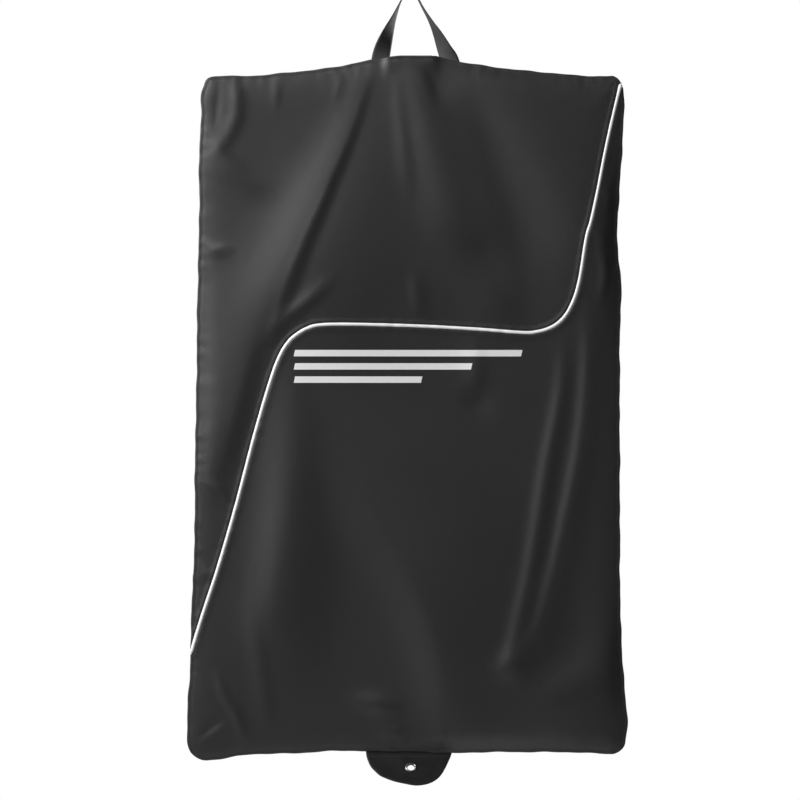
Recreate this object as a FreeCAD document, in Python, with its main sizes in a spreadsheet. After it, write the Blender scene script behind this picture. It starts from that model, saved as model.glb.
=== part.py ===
"""Hanging garment bag for sports jerseys, as a parametric FreeCAD document.

The bag hangs from a webbing handle. Its front is two panels joined by an S-shaped piped seam.
Its back is two panels joined by a full-length coil zip. A half-moon tab with an eyelet is sewn
into the bottom seam. The lower half folds up behind the upper half, so every piece that crosses
the fold line is two solids, one on each side of it.

Frame, in millimetres: the origin is at the inside top of the handle loop, where a hook carries
the bag. +Z is up, the front faces -Y, and +X is to the right of someone who faces the front.
"""
import FreeCAD, Part
import Sketcher
import math
import os

from FreeCAD import Placement, Rotation, Vector

DRIVING_SIZES = {
    # outline of the bag, seen from the front; each drop is measured down from the top seam
    "top_drop": 94.0,             # hook to top seam
    "body_height": 975.0,         # top seam to bottom seam
    "flat_half_width": 45.0,
    "neck_half_width": 104.0,
    "neck_drop": 12.5,
    "shoulder_half_width": 225.0,
    "shoulder_drop": 26.0,
    "top_half_width": 297.0,
    "bottom_half_width": 308.0,
    "corner_width": 14.0,
    "corner_height": 26.0,
    # build-up through the thickness
    "cloth_thick": 1.0,
    "inner_half_depth": 6.0,      # middle plane to the inside of a panel
    "seam_width": 2.5,
    "fold_gap": 1.0,
    # piped seam
    "piping_diameter": 4.6,
    "piping_core_diameter": 3.0,
    "piping_flange_thick": 0.8,
    "piping_flange_depth": 2.0,
    "piping_play": 0.1,
    "piping_end_inset": 1.5,
    # printed stripes
    "stripe_film": 0.3,
    "stripe_height": 9.0,
    "stripe_pitch": 18.5,
    "stripe_length": 318.0,
    "stripe_step": 70.0,
    "stripe_drop": 410.0,
    # handle
    "webbing_width": 25.0,
    "webbing_thick": 1.5,
    "handle_half_span": 49.0,     # middle of the bag to the middle of a handle foot
    "handle_flat_rise": 8.0,      # height over which a leg stays flat
    "handle_twist_rise": 56.0,    # height over which it then turns edge-on
    "crown_radius": 8.0,
    "handle_tail": 42.0,
    "hinge_gap": 1.2,
    # hanger slot
    "slot_half_width": 33.0,
    "slot_binding_thick": 1.5,
    "slot_binding_height": 10.0,
    # back zip
    "zip_window_half": 7.0,
    "zip_top_drop": 12.0,
    "zip_end_gap": 4.0,
    "tape_width": 13.8,
    "tape_thick": 0.8,
    "tape_gap": 1.0,              # middle of the zip to the inner edge of a tape
    "coil_gap": 0.6,
    "coil_width": 2.8,
    "coil_thick": 2.4,
    "stop_length": 4.0,
    # slider and pull
    "slider_drop": 26.0,
    "slider_length": 14.0,
    "slider_half_width": 5.2,
    "slider_plate": 1.5,
    "slider_play": 0.3,
    "bridge_width": 2.4,
    "bridge_thick": 1.0,
    "bridge_opening": 2.0,
    "bridge_length": 11.0,
    "pull_bar_diameter": 1.4,
    "pull_width": 6.8,
    "pull_rim": 1.4,
    "pull_loop": 10.0,
    "pull_length": 34.0,
    "grip_width": 10.0,
    "grip_thick": 3.0,
    "grip_length": 21.0,
    "grip_cover": 1.2,
    # tab and eyelet
    "tab_radius": 60.0,
    "tab_length": 54.0,
    "tab_layer": 0.8,
    "tab_tilt": 40.0,             # degrees that the tab leans forward from straight down
    "eyelet_drop": 23.5,          # tab hinge to the middle of the eyelet, along the tab
    "eyelet_bore": 10.5,
    "eyelet_wall": 0.8,
    "eyelet_flange": 18.0,
    "eyelet_flange_thick": 0.8,
    "eyelet_play": 0.1,
    "washer_diameter": 17.0,
}

# The piped seam before its two bends are rounded: x, and the drop below the top seam.
S_CORNERS = ((306.0, -60.0), (222.0, 384.0), (-171.0, 375.0), (-322.0, 900.0))
S_BENDS = (88.0, 62.0)
FAR = 2000.0                      # more than any reach of the bag

doc = FreeCAD.newDocument("garment_bag")
sheet = doc.addObject("Spreadsheet::Sheet", "Sizes")
for row, (alias, number) in enumerate(DRIVING_SIZES.items(), start=1):
    sheet.set("A%d" % row, alias)
    sheet.set("B%d" % row, str(number))
    sheet.setAlias("B%d" % row, alias)
doc.recompute()

subparts = []

# Levels that several pieces share, as formulas on the sheet's cells.
TOP = "-<top_drop>"
BOTTOM = "-<top_drop> - <body_height>"
FOLD = "-<top_drop> - <body_height> / 2"
SHOULDER = "-<top_drop> - <shoulder_drop>"
ABOVE_FOLD = FOLD + " + <fold_gap> / 2"
BELOW_FOLD = FOLD + " - <fold_gap> / 2"
INSIDE = "<inner_half_depth>"
OUTSIDE = "<inner_half_depth> + <cloth_thick>"
FRONT_FACE = "-<inner_half_depth> - <cloth_thick>"
ZIP_TOP = TOP + " - <zip_top_drop>"
ZIP_BOTTOM = BOTTOM + " + <zip_end_gap>"
COIL_FACE = "<inner_half_depth> + <coil_thick>"
FAR_LOW, FAR_HIGH = str(-FAR), str(FAR)


def size(alias):
    """The driving size under that alias, as a plain number."""
    return float(sheet.get(alias))


def bound(formula):
    """The formula as an expression, each alias in angle brackets tied to its cell."""
    return formula.replace("<", "Sizes.").replace(">", "")


def minus(formula):
    """The formula with its sign turned."""
    return "-(%s)" % formula


def value_of(formula):
    """The number that a formula of sums and single products comes to."""
    for alias in DRIVING_SIZES:
        formula = formula.replace("<%s>" % alias, "(%r)" % size(alias))
    return float(FreeCAD.Units.Quantity(formula).Value)


def filed(made, name):
    """Files an object of the document as the sub-part of that name."""
    made.Label = name
    subparts.append(made)
    return made


def box(label, x, y, z):
    """A Part::Box between a low and a high formula along each axis."""
    made = doc.addObject("Part::Box", "Box")
    made.Label = label
    for (low, high), side, axis in zip((x, y, z), ("Length", "Width", "Height"), "xyz"):
        made.setExpression(side, bound("(%s) - (%s)" % (high, low)))
        made.setExpression("Placement.Base.%s" % axis, bound(low))
    return made


def cylinder_along_y(label, diameter, y, z, x="0"):
    """A Part::Cylinder along Y between two formulas, with its axis at x and z."""
    made = doc.addObject("Part::Cylinder", "Cylinder")
    made.Label = label
    low, high = y
    made.setExpression("Radius", bound("(%s) / 2" % diameter))
    made.setExpression("Height", bound("(%s) - (%s)" % (high, low)))
    made.Placement = Placement(Vector(), Rotation(Vector(1, 0, 0), -90))
    for axis, place in zip("xyz", (x, low, z)):
        made.setExpression("Placement.Base.%s" % axis, bound(place))
    return made


def cylinder_along_x(label, diameter, half_length, y, z):
    """A Part::Cylinder along X, centred on x = 0."""
    made = doc.addObject("Part::Cylinder", "Cylinder")
    made.Label = label
    made.setExpression("Radius", bound("(%s) / 2" % diameter))
    made.setExpression("Height", bound("2 * (%s)" % half_length))
    made.Placement = Placement(Vector(), Rotation(Vector(0, 1, 0), 90))
    for axis, place in zip("xyz", (minus(half_length), y, z)):
        made.setExpression("Placement.Base.%s" % axis, bound(place))
    return made


def joined(label, *shapes):
    """A Part::MultiFuse of the shapes."""
    made = doc.addObject("Part::MultiFuse", "Fuse")
    made.Label = label
    made.Shapes = list(shapes)
    return made


def shared(label, *shapes):
    """A Part::MultiCommon of the shapes."""
    made = doc.addObject("Part::MultiCommon", "Common")
    made.Label = label
    made.Shapes = list(shapes)
    return made


def cut(label, base, tool):
    """A Part::Cut of the tool from the base."""
    made = doc.addObject("Part::Cut", "Cut")
    made.Label = label
    made.Base = base
    made.Tool = tool
    return made


def grouped(label, *shapes):
    """A Part::Compound that keeps the shapes as separate solids."""
    made = doc.addObject("Part::Compound", "Compound")
    made.Label = label
    made.Links = list(shapes)
    return made


def coded(label, shape):
    """A Part::Feature that holds a shape made by code from the sheet's sizes."""
    made = doc.addObject("Part::Feature", "Feature")
    made.Label = label
    made.Shape = shape
    return made


def sketched_body(label, role, corners):
    """A PartDesign body with one sketch: a closed polygon whose corners are pairs of formulas."""
    body = doc.addObject("PartDesign::Body", "Body")
    body.Label = label
    sketch = body.newObject("Sketcher::SketchObject", "Outline")
    plane = next(p for p in body.Origin.OriginFeatures if p.Role == role)
    sketch.AttachmentSupport = [(plane, "")]
    sketch.MapMode = "FlatFace"
    places = [Vector(value_of(first), value_of(second), 0) for first, second in corners]
    for start, end in zip(places, places[1:] + places[:1]):
        sketch.addGeometry(Part.LineSegment(start, end), False)
    for i, (first, second) in enumerate(corners):
        sketch.addConstraint(Sketcher.Constraint("Coincident", i, 2, (i + 1) % len(corners), 1))
        for kind, formula, place in (("DistanceX", first, places[i].x), ("DistanceY", second, places[i].y)):
            index = sketch.addConstraint(Sketcher.Constraint(kind, -1, 1, i, 1, place))
            sketch.setExpression("Constraints[%d]" % index, bound(formula))
    return body, sketch


def outline_corners(inset):
    """The bag's outline as x and z formulas, in order round the bag."""
    right = [
        ("<flat_half_width>", "%s - %s" % (TOP, inset)),
        ("<neck_half_width>", "%s - <neck_drop> - %s" % (TOP, inset)),
        ("<shoulder_half_width>", "%s - %s" % (SHOULDER, inset)),
        ("<top_half_width> - <corner_width>", "%s - %s" % (SHOULDER, inset)),
        ("<top_half_width> - %s" % inset, SHOULDER + " - <corner_height>"),
        ("<bottom_half_width> - %s" % inset, BOTTOM + " + <corner_height>"),
        ("<bottom_half_width> - <corner_width>", "%s + %s" % (BOTTOM, inset)),
    ]
    return right + [(minus(x), z) for x, z in reversed(right)]


def outline_plate(label, low, high, inset="0"):
    """The bag's outline, inset on every side, as a plate between two levels of y."""
    body, sketch = sketched_body(label, "XZ_Plane", outline_corners(inset))
    sketch.setExpression("AttachmentOffset.Base.z", bound(minus(high)))
    pad = body.newObject("PartDesign::Pad", "Pad")
    pad.Profile = sketch
    pad.Reversed = False
    pad.setExpression("Length", bound("(%s) - (%s)" % (high, low)))
    return body


def s_path():
    """The piped seam as straight runs and tangent arcs in the plane y = 0."""
    corners = [Vector(x, 0, -size("top_drop") - drop) for x, drop in S_CORNERS]
    edges = []
    start = corners[0]
    for before, corner, after, radius in zip(corners, corners[1:], corners[2:], S_BENDS):
        incoming = (corner - before).normalize()
        outgoing = (after - corner).normalize()
        turn = incoming.getAngle(outgoing)
        reach = radius * math.tan(turn / 2)
        enter = corner - incoming * reach
        leave = corner + outgoing * reach
        inward = (outgoing - incoming).normalize()
        middle = corner + inward * (radius / math.cos(turn / 2) - radius)
        edges.append(Part.LineSegment(start, enter).toShape())
        edges.append(Part.Arc(enter, middle, leave).toShape())
        start = leave
    edges.append(Part.LineSegment(start, corners[-1]).toShape())
    return edges


def swept(edges, profile, y):
    """A solid: a profile drawn about the origin in x and y, carried along the seam at that level."""
    path = Part.Wire(edges)
    path.translate(Vector(0, y, 0))
    along = path.Edges[0].tangentAt(0)
    turn = Rotation(Vector(-along.z, 0, along.x), Vector(0, 1, 0), along, "YZX")
    profile.Placement = Placement(path.Edges[0].valueAt(0), turn)
    return path.makePipeShell([profile], True, True)


def rectangle(width, low, high):
    """A closed rectangle in x and y, centred on x = 0."""
    half = width / 2
    corners = [Vector(-half, low, 0), Vector(half, low, 0), Vector(half, high, 0), Vector(-half, high, 0)]
    return Part.makePolygon(corners + corners[:1])


# Regions that cut whole sheets into their pieces.
EVERYWHERE = (FAR_LOW, FAR_HIGH)
HALVES = (
    ("above_fold", box("region_above_fold", EVERYWHERE, EVERYWHERE, (ABOVE_FOLD, FAR_HIGH))),
    ("below_fold", box("region_below_fold", EVERYWHERE, EVERYWHERE, (FAR_LOW, BELOW_FOLD))),
)
seam_edges = s_path()
seam_start = seam_edges[0].valueAt(0)
seam_end = seam_edges[-1].Vertexes[-1].Point
yoke_rim = [seam_end, Vector(-FAR, 0, seam_end.z), Vector(-FAR, 0, FAR), Vector(FAR, 0, FAR),
            Vector(FAR, 0, seam_start.z), seam_start]
rim_edges = [Part.LineSegment(a, b).toShape() for a, b in zip(yoke_rim, yoke_rim[1:])]
yoke_solid = Part.Face(Part.Wire(seam_edges + rim_edges)).extrude(Vector(0, 2 * FAR, 0))
yoke_solid.translate(Vector(0, -FAR, 0))
yoke_region = coded("region_yoke", yoke_solid)

# Front: yoke above the piped seam, body below it.
front_level = value_of(FRONT_FACE)
cloth = size("cloth_thick")
seam_cutter = rectangle(size("piping_flange_thick") + 2 * size("piping_play"), -cloth, 2 * cloth)
seam_opening = coded("region_piped_seam", swept(seam_edges, seam_cutter, front_level))
front_sheet = outline_plate("front_sheet", FRONT_FACE, minus(INSIDE))
FRONT_PANELS = {
    "front_yoke": cut("front_yoke_whole", shared("front_yoke_uncut", front_sheet, yoke_region), seam_opening),
    "front_body": cut("front_body_whole", cut("front_body_uncut", front_sheet, yoke_region), seam_opening),
}
for panel, whole in FRONT_PANELS.items():
    for half, region in HALVES:
        filed(shared("", whole, region), "%s_%s" % (panel, half))

# Piping: a corded bead that stands on the seam, with a flange between the two panels.
bead = size("piping_diameter")
bead_level = front_level - bead / 2
limit = outline_plate("region_piping", "2 * (%s)" % FRONT_FACE, "0", "<piping_end_inset>")
bead_solid = swept(seam_edges, Part.Wire(Part.makeCircle(bead / 2)), bead_level)
core_solid = swept(seam_edges, Part.Wire(Part.makeCircle(size("piping_core_diameter") / 2)), bead_level)
flange_profile = rectangle(size("piping_flange_thick"), -bead / 4, size("piping_flange_depth"))
flange_solid = swept(seam_edges, flange_profile, front_level)
PIPING = {
    "piping_cover": coded("piping_cover_whole", bead_solid.fuse(flange_solid).cut(core_solid)),
    "piping_core": coded("piping_core_whole", core_solid),
}
for piece, whole in PIPING.items():
    for half, region in HALVES:
        filed(shared("", whole, limit, region), "%s_%s" % (piece, half))

# Back: one panel on each side of the zip.
back_sheet = outline_plate("back_sheet", INSIDE, OUTSIDE)
SIDES = {"left": (FAR_LOW, "-<zip_window_half>"), "right": ("<zip_window_half>", FAR_HIGH)}
for side, span in SIDES.items():
    panel = shared("back_panel_%s" % side, back_sheet, box("region_%s" % side, span, EVERYWHERE, EVERYWHERE))
    for half, region in HALVES:
        filed(shared("", panel, region), "back_panel_%s_%s" % (side, half))

# Bound seams that join front to back round the edge, open where the handle's ends pass through.
FOOT = ("<handle_half_span> - <webbing_width> / 2", "<handle_half_span> + <webbing_width> / 2")
FEET = {"left": (minus(FOOT[1]), minus(FOOT[0])), "right": FOOT}
whole_ring = cut("seam_ring", outline_plate("seam_outer", minus(INSIDE), INSIDE),
                 outline_plate("seam_inner", FRONT_FACE, OUTSIDE, "<seam_width>"))
tail_openings = joined("region_tails", *[
    box("region_tail_%s" % side, (low + " - <piping_play>", high + " + <piping_play>"),
        ("-<webbing_thick> / 2 - <piping_play>", "<webbing_thick> / 2 + <piping_play>"), EVERYWHERE)
    for side, (low, high) in FEET.items()])
ring_top = shared("seam_ring_top", whole_ring, HALVES[0][1])
ring_bottom = shared("seam_ring_bottom", whole_ring, HALVES[1][1])
open_ring_top = cut("seam_ring_top_open", ring_top, tail_openings)
SIDE_TOP = SHOULDER + " - <corner_height>"
SIDE_BOTTOM = BOTTOM + " + <corner_height>"
SEAMS = {
    "top_seam_left": (open_ring_top, (FAR_LOW, "-<slot_half_width>"), (SIDE_TOP, FAR_HIGH)),
    "top_seam_right": (open_ring_top, ("<slot_half_width>", FAR_HIGH), (SIDE_TOP, FAR_HIGH)),
    "side_seam_left_above_fold": (ring_top, (FAR_LOW, "0"), (FOLD, SIDE_TOP)),
    "side_seam_right_above_fold": (ring_top, ("0", FAR_HIGH), (FOLD, SIDE_TOP)),
    "side_seam_left_below_fold": (ring_bottom, (FAR_LOW, "0"), (SIDE_BOTTOM, FOLD)),
    "side_seam_right_below_fold": (ring_bottom, ("0", FAR_HIGH), (SIDE_BOTTOM, FOLD)),
    "bottom_seam": (ring_bottom, EVERYWHERE, (FAR_LOW, SIDE_BOTTOM)),
}
for name, (ring, x_span, z_span) in SEAMS.items():
    filed(shared("", ring, box("region_" + name, x_span, EVERYWHERE, z_span)), name)

# Hanger slot: the top edge stays open between the handle's feet and is bound on both sides.
SLOT_X = ("-<slot_half_width>", "<slot_half_width>")
SLOT_Z = (TOP + " - <slot_binding_height>", TOP)
SLOT_LEVELS = {
    "front": (minus(INSIDE), "-<inner_half_depth> + <slot_binding_thick>"),
    "back": ("<inner_half_depth> - <slot_binding_thick>", INSIDE),
}
for side, levels in SLOT_LEVELS.items():
    filed(box("", SLOT_X, levels, SLOT_Z), "slot_binding_" + side)

# Printed stripes on the front: rounded bars, each row shorter than the one above.
STRIPE_LEVELS = (FRONT_FACE + " - <stripe_film>", FRONT_FACE)


def stripe(row):
    """One rounded bar; row 0 is the top one."""
    reach = "<stripe_length> / 2 - %d * <stripe_step> / 2 - <stripe_height> / 2" % row
    top = "%s - <stripe_drop> - %d * <stripe_pitch>" % (TOP, row)
    middle = top + " - <stripe_height> / 2"
    bar = box("stripe_bar", (minus(reach), reach), STRIPE_LEVELS, (top + " - <stripe_height>", top))
    ends = [cylinder_along_y("stripe_end", "<stripe_height>", STRIPE_LEVELS, middle, x)
            for x in (minus(reach), reach)]
    return joined("stripe_%d" % row, bar, *ends)


filed(grouped("", *[stripe(row) for row in range(3)]), "chest_stripes")

# Back zip: a tape and a coil on each side of its middle, with stops at its ends.
TAPE_LEVELS = ("<inner_half_depth> - <tape_thick>", INSIDE)
COIL_LEVELS = (INSIDE, COIL_FACE)
TAPE_X = ("<tape_gap>", "<tape_gap> + <tape_width>")
COIL_X = ("<coil_gap>", "<coil_gap> + <coil_width>")
COIL_TOP = ZIP_TOP + " - <stop_length>"
STOP_BOTTOM = ZIP_BOTTOM + " + <stop_length>"
COIL_BOTTOM = ZIP_BOTTOM + " + 2 * <stop_length>"


def on_side(span, side):
    """A span to the right of the middle, or its mirror on the left."""
    return span if side == "right" else (minus(span[1]), minus(span[0]))


for side in SIDES:
    tape_x = on_side(TAPE_X, side)
    coil_x = on_side(COIL_X, side)
    filed(box("", tape_x, TAPE_LEVELS, (ABOVE_FOLD, ZIP_TOP)), "zip_tape_%s_above_fold" % side)
    filed(box("", tape_x, TAPE_LEVELS, (ZIP_BOTTOM, BELOW_FOLD)), "zip_tape_%s_below_fold" % side)
    filed(box("", coil_x, COIL_LEVELS, (ABOVE_FOLD, COIL_TOP)), "zip_coil_%s_above_fold" % side)
    filed(box("", coil_x, COIL_LEVELS, (COIL_BOTTOM, BELOW_FOLD)), "zip_coil_%s_below_fold" % side)
top_stops = [box("top_stop_" + side, on_side(COIL_X, side), COIL_LEVELS, (COIL_TOP, ZIP_TOP)) for side in SIDES]
filed(grouped("", *top_stops), "zip_top_stops")
filed(box("", (minus(COIL_X[1]), COIL_X[1]), COIL_LEVELS, (STOP_BOTTOM, COIL_BOTTOM)), "zip_bottom_stop")

# Slider: a plate on each face of the chain, a thin post between the coils, flanges and a bridge.
SLIDER_MIDDLE = TOP + " - <slider_drop>"
SLIDER_Z = (SLIDER_MIDDLE + " - <slider_length> / 2", SLIDER_MIDDLE + " + <slider_length> / 2")
SLIDER_X = ("-<slider_half_width>", "<slider_half_width>")
PLATE_BACK_FACE = COIL_FACE + " + <slider_play> + <slider_plate>"
INNER_PLATE_Y = ("<inner_half_depth> - <tape_thick> - <slider_play> - <slider_plate>",
                 "<inner_half_depth> - <tape_thick> - <slider_play>")
OUTER_PLATE_Y = (COIL_FACE + " + <slider_play>", PLATE_BACK_FACE)
POST_Y = (INNER_PLATE_Y[1], OUTER_PLATE_Y[0])
POST_X = ("-<coil_gap> / 2", "<coil_gap> / 2")
FLANGE_Y = ("<inner_half_depth> + <slider_play>", OUTER_PLATE_Y[0])
FLANGE_X = ("<coil_gap> + <coil_width> + <slider_play>", "<slider_half_width>")
BRIDGE_X = ("-<bridge_width> / 2", "<bridge_width> / 2")
BRIDGE_Z = (SLIDER_MIDDLE + " - <bridge_length> / 2", SLIDER_MIDDLE + " + <bridge_length> / 2")
BRIDGE_HOLE_Y = (PLATE_BACK_FACE, PLATE_BACK_FACE + " + <bridge_opening>")
slider_pieces = [
    box("slider_inner_plate", SLIDER_X, INNER_PLATE_Y, SLIDER_Z),
    box("slider_outer_plate", SLIDER_X, OUTER_PLATE_Y, SLIDER_Z),
    box("slider_post", POST_X, POST_Y, SLIDER_Z),
]
slider_pieces += [box("slider_flange_" + side, on_side(FLANGE_X, side), FLANGE_Y, SLIDER_Z) for side in SIDES]
filed(joined("", *slider_pieces), "zip_slider_body")
bridge_block = box("bridge_block", BRIDGE_X, (PLATE_BACK_FACE, BRIDGE_HOLE_Y[1] + " + <bridge_thick>"), BRIDGE_Z)
bridge_hole = box("bridge_hole", BRIDGE_X, BRIDGE_HOLE_Y,
                  (BRIDGE_Z[0] + " + <bridge_thick>", BRIDGE_Z[1] + " - <bridge_thick>"))
filed(cut("", bridge_block, bridge_hole), "zip_slider_bridge")

# Pull: a plate with a window, whose top bar lies under the bridge, and a moulded grip.
PULL_Y = PLATE_BACK_FACE + " + <bridge_opening> / 2"
PULL_Z = BRIDGE_Z[0] + " + <bridge_thick> + <pull_bar_diameter> / 2 + <slider_play>"
PULL_LEVELS = (PULL_Y + " - <pull_bar_diameter> / 2", PULL_Y + " + <pull_bar_diameter> / 2")
GRIP_LEVELS = (PULL_Y + " - <grip_thick> / 2", PULL_Y + " + <grip_thick> / 2")
PULL_BOTTOM = PULL_Z + " - <pull_length>"
GRIP_BOTTOM = PULL_BOTTOM + " - <grip_cover>"
pull_blank = box("pull_blank", ("-<pull_width> / 2", "<pull_width> / 2"), PULL_LEVELS, (PULL_BOTTOM, PULL_Z))
pull_window = box("pull_window", ("-<pull_width> / 2 + <pull_rim>", "<pull_width> / 2 - <pull_rim>"),
                  PULL_LEVELS, (PULL_Z + " - <pull_loop>", PULL_Z))
pull_bar = cylinder_along_x("pull_bar", "<pull_bar_diameter>", "<pull_width> / 2", PULL_Y, PULL_Z)
filed(joined("", cut("pull_plate", pull_blank, pull_window), pull_bar), "zip_pull_plate")
grip_block = box("grip_block", ("-<grip_width> / 2", "<grip_width> / 2"), GRIP_LEVELS,
                 (GRIP_BOTTOM, GRIP_BOTTOM + " + <grip_length>"))
filed(cut("", grip_block, pull_blank), "zip_pull_grip")


# Handle: webbing that rises flat from its two feet, turns edge-on and runs over the hook.
def smooth_step(share):
    """0 to 1 with a soft start and end, held outside that range."""
    share = max(0.0, min(1.0, share))
    return share * share * (3 - 2 * share)


def strap_section(middle, lean, turn):
    """A cross-section of the strap, square to a line that leans in x; turn takes it edge-on."""
    along = Vector(math.sin(lean), 0, math.cos(lean))
    spin = Rotation(along, -math.degrees(turn))
    wide = spin.multVec(Vector(along.z, 0, -along.x)) * (size("webbing_width") / 2)
    deep = spin.multVec(Vector(0, 1, 0)) * (size("webbing_thick") / 2)
    corners = [middle - wide - deep, middle + wide - deep, middle + wide + deep, middle - wide + deep]
    return Part.makePolygon(corners + corners[:1])


def handle_sections(leg_steps=9, crown_steps=8):
    """Cross-sections from the left foot, over the crown, to the right foot."""
    foot = Vector(-size("handle_half_span"), 0, -size("top_drop") + 2 * size("hinge_gap"))
    radius = size("crown_radius") + size("webbing_thick") / 2
    centre = Vector(0, 0, -size("crown_radius"))
    reach = centre - foot
    lean = math.atan2(reach.x, reach.z) - math.asin(radius / reach.Length)
    touch = centre + Vector(-math.cos(lean), 0, math.sin(lean)) * radius
    stations = []
    for step in range(leg_steps):
        middle = foot + (touch - foot) * (step / leg_steps)
        rise = middle.z - foot.z
        turn = smooth_step((rise - size("handle_flat_rise")) / size("handle_twist_rise")) * math.pi / 2
        stations.append((middle, lean * smooth_step(rise / size("handle_flat_rise")), turn))
    for step in range(crown_steps // 2 + 1):
        angle = lean + (math.pi / 2 - lean) * step / (crown_steps // 2)
        middle = centre + Vector(-math.cos(angle), 0, math.sin(angle)) * radius
        stations.append((middle, angle, math.pi / 2))
    mirrored = [(Vector(-p.x, 0, p.z), math.pi - lean, turn) for p, lean, turn in reversed(stations[:-1])]
    return [strap_section(*station) for station in stations + mirrored]


filed(coded("", Part.makeLoft(handle_sections(), True, True)), "handle_webbing")
for side, foot in FEET.items():
    filed(box("", foot, ("-<webbing_thick> / 2", "<webbing_thick> / 2"), (TOP + " - <handle_tail>", TOP)),
          "handle_end_" + side)

# Tab and eyelet, drawn hanging straight down from the origin, then hung from the bottom seam.
TAB_HINGE = BOTTOM + " - <hinge_gap>"
EYELET_Z = "-<eyelet_drop>"
RIM_Y = "<tab_layer> + <eyelet_flange_thick>"
BARREL = "<eyelet_bore> + 2 * <eyelet_wall>"


def hung(made, name):
    """Files a piece of the tab, leant forward about the tab's hinge line."""
    filed(made, name)
    made.Placement = Placement(Vector(), Rotation(Vector(1, 0, 0), -size("tab_tilt")))
    made.setExpression("Placement.Base.z", bound(TAB_HINGE))
    return made


for side, levels in (("front", ("-<tab_layer>", "0")), ("back", ("0", "<tab_layer>"))):
    disc = cylinder_along_y("tab_disc", "2 * <tab_radius>", levels, "<tab_radius> - <tab_length>")
    half_moon = shared("tab_half_moon", disc, box("tab_region", EVERYWHERE, EVERYWHERE, (FAR_LOW, "-<hinge_gap>")))
    eyelet_hole = cylinder_along_y("tab_hole", BARREL + " + 2 * <eyelet_play>", levels, EYELET_Z)
    hung(cut("", half_moon, eyelet_hole), "tab_%s_layer" % side)
eyelet_solid = joined(
    "eyelet_solid",
    cylinder_along_y("eyelet_barrel", BARREL, (minus(RIM_Y), RIM_Y), EYELET_Z),
    cylinder_along_y("eyelet_flange", "<eyelet_flange>", (minus(RIM_Y), "-<tab_layer>"), EYELET_Z))
eyelet_bore = cylinder_along_y("eyelet_bore", "<eyelet_bore>", (minus(RIM_Y), RIM_Y), EYELET_Z)
hung(cut("", eyelet_solid, eyelet_bore), "eyelet")
washer_disc = cylinder_along_y("washer_disc", "<washer_diameter>", ("<tab_layer>", RIM_Y), EYELET_Z)
washer_hole = cylinder_along_y("washer_hole", BARREL + " + <eyelet_play>", ("<tab_layer>", RIM_Y), EYELET_Z)
hung(cut("", washer_disc, washer_hole), "eyelet_washer")

# Check every object, then write one file for each sub-part.
doc.recompute()
faults = ["%s: %s" % (made.Label, made.State) for made in doc.Objects if {"Invalid", "Error"} & set(made.State)]
faults += ["%s: no valid solid" % made.Label for made in subparts
           if made.Shape.isNull() or not made.Shape.isValid() or not made.Shape.Solids]
if faults:
    raise SystemExit("\n".join(faults))
os.makedirs("parts", exist_ok=True)
for made in subparts:
    made.Shape.exportStep("parts/%s.step" % made.Label)
    extent = made.Shape.BoundBox
    print("%-28s %d solid(s) %9.1f mm3   x %7.1f %7.1f   y %6.1f %6.1f   z %8.1f %8.1f" % (
        made.Label, len(made.Shape.Solids), made.Shape.Volume,
        extent.XMin, extent.XMax, extent.YMin, extent.YMax, extent.ZMin, extent.ZMax))
print(len(subparts), "sub-parts")
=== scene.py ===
"""Looks for a hanging garment bag: cloth panels, piping, webbing handle, back zip, tab and studio.

Lengths in the dataclasses are in millimetres in the part's own frame: the origin is at the inside
top of the handle loop, +Z is up and the front faces -Y. MM turns them into Blender's metres.
"""
import logging
import math
from dataclasses import dataclass, field
from enum import Enum

import bmesh
import bpy
import numpy as np
from mathutils import Matrix, Vector
from mathutils.geometry import delaunay_2d_cdt


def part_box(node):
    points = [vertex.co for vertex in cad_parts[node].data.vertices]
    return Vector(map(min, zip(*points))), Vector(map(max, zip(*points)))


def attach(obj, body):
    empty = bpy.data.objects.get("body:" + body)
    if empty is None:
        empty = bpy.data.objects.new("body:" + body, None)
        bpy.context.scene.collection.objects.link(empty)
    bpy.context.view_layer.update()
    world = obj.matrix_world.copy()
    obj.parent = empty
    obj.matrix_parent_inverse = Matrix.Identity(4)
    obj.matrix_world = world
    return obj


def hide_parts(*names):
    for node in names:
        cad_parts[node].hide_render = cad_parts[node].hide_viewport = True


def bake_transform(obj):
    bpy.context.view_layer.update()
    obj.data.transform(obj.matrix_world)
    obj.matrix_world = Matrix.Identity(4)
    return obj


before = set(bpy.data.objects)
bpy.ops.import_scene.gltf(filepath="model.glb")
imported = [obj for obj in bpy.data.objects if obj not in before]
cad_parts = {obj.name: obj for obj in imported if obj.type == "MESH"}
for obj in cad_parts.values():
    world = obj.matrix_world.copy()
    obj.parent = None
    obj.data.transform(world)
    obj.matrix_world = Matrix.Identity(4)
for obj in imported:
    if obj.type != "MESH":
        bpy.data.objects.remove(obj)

MM = 0.001
LOG = logging.getLogger("garment_bag")
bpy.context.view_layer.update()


class Body(str, Enum):
    """The rigid bodies of the frame."""

    HANDLE = "handle"
    UPPER = "upper_half"
    LOWER = "lower_half"
    TAB = "tab"
    SLIDER = "zip_slider"
    PULL = "zip_pull"


class Side(Enum):
    """A side of the bag, seen from the front; the value is the sign of x."""

    LEFT = -1
    RIGHT = 1


class Facing(Enum):
    """A face of the bag; the value is the sign of y."""

    FRONT = -1
    BACK = 1


class Fill(Enum):
    """How triangles fill closed loops; the value is the triangulator's own code."""

    INSIDE = 1
    AROUND_HOLES = 4


# ---- Small tools for meshes and lines ----


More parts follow.
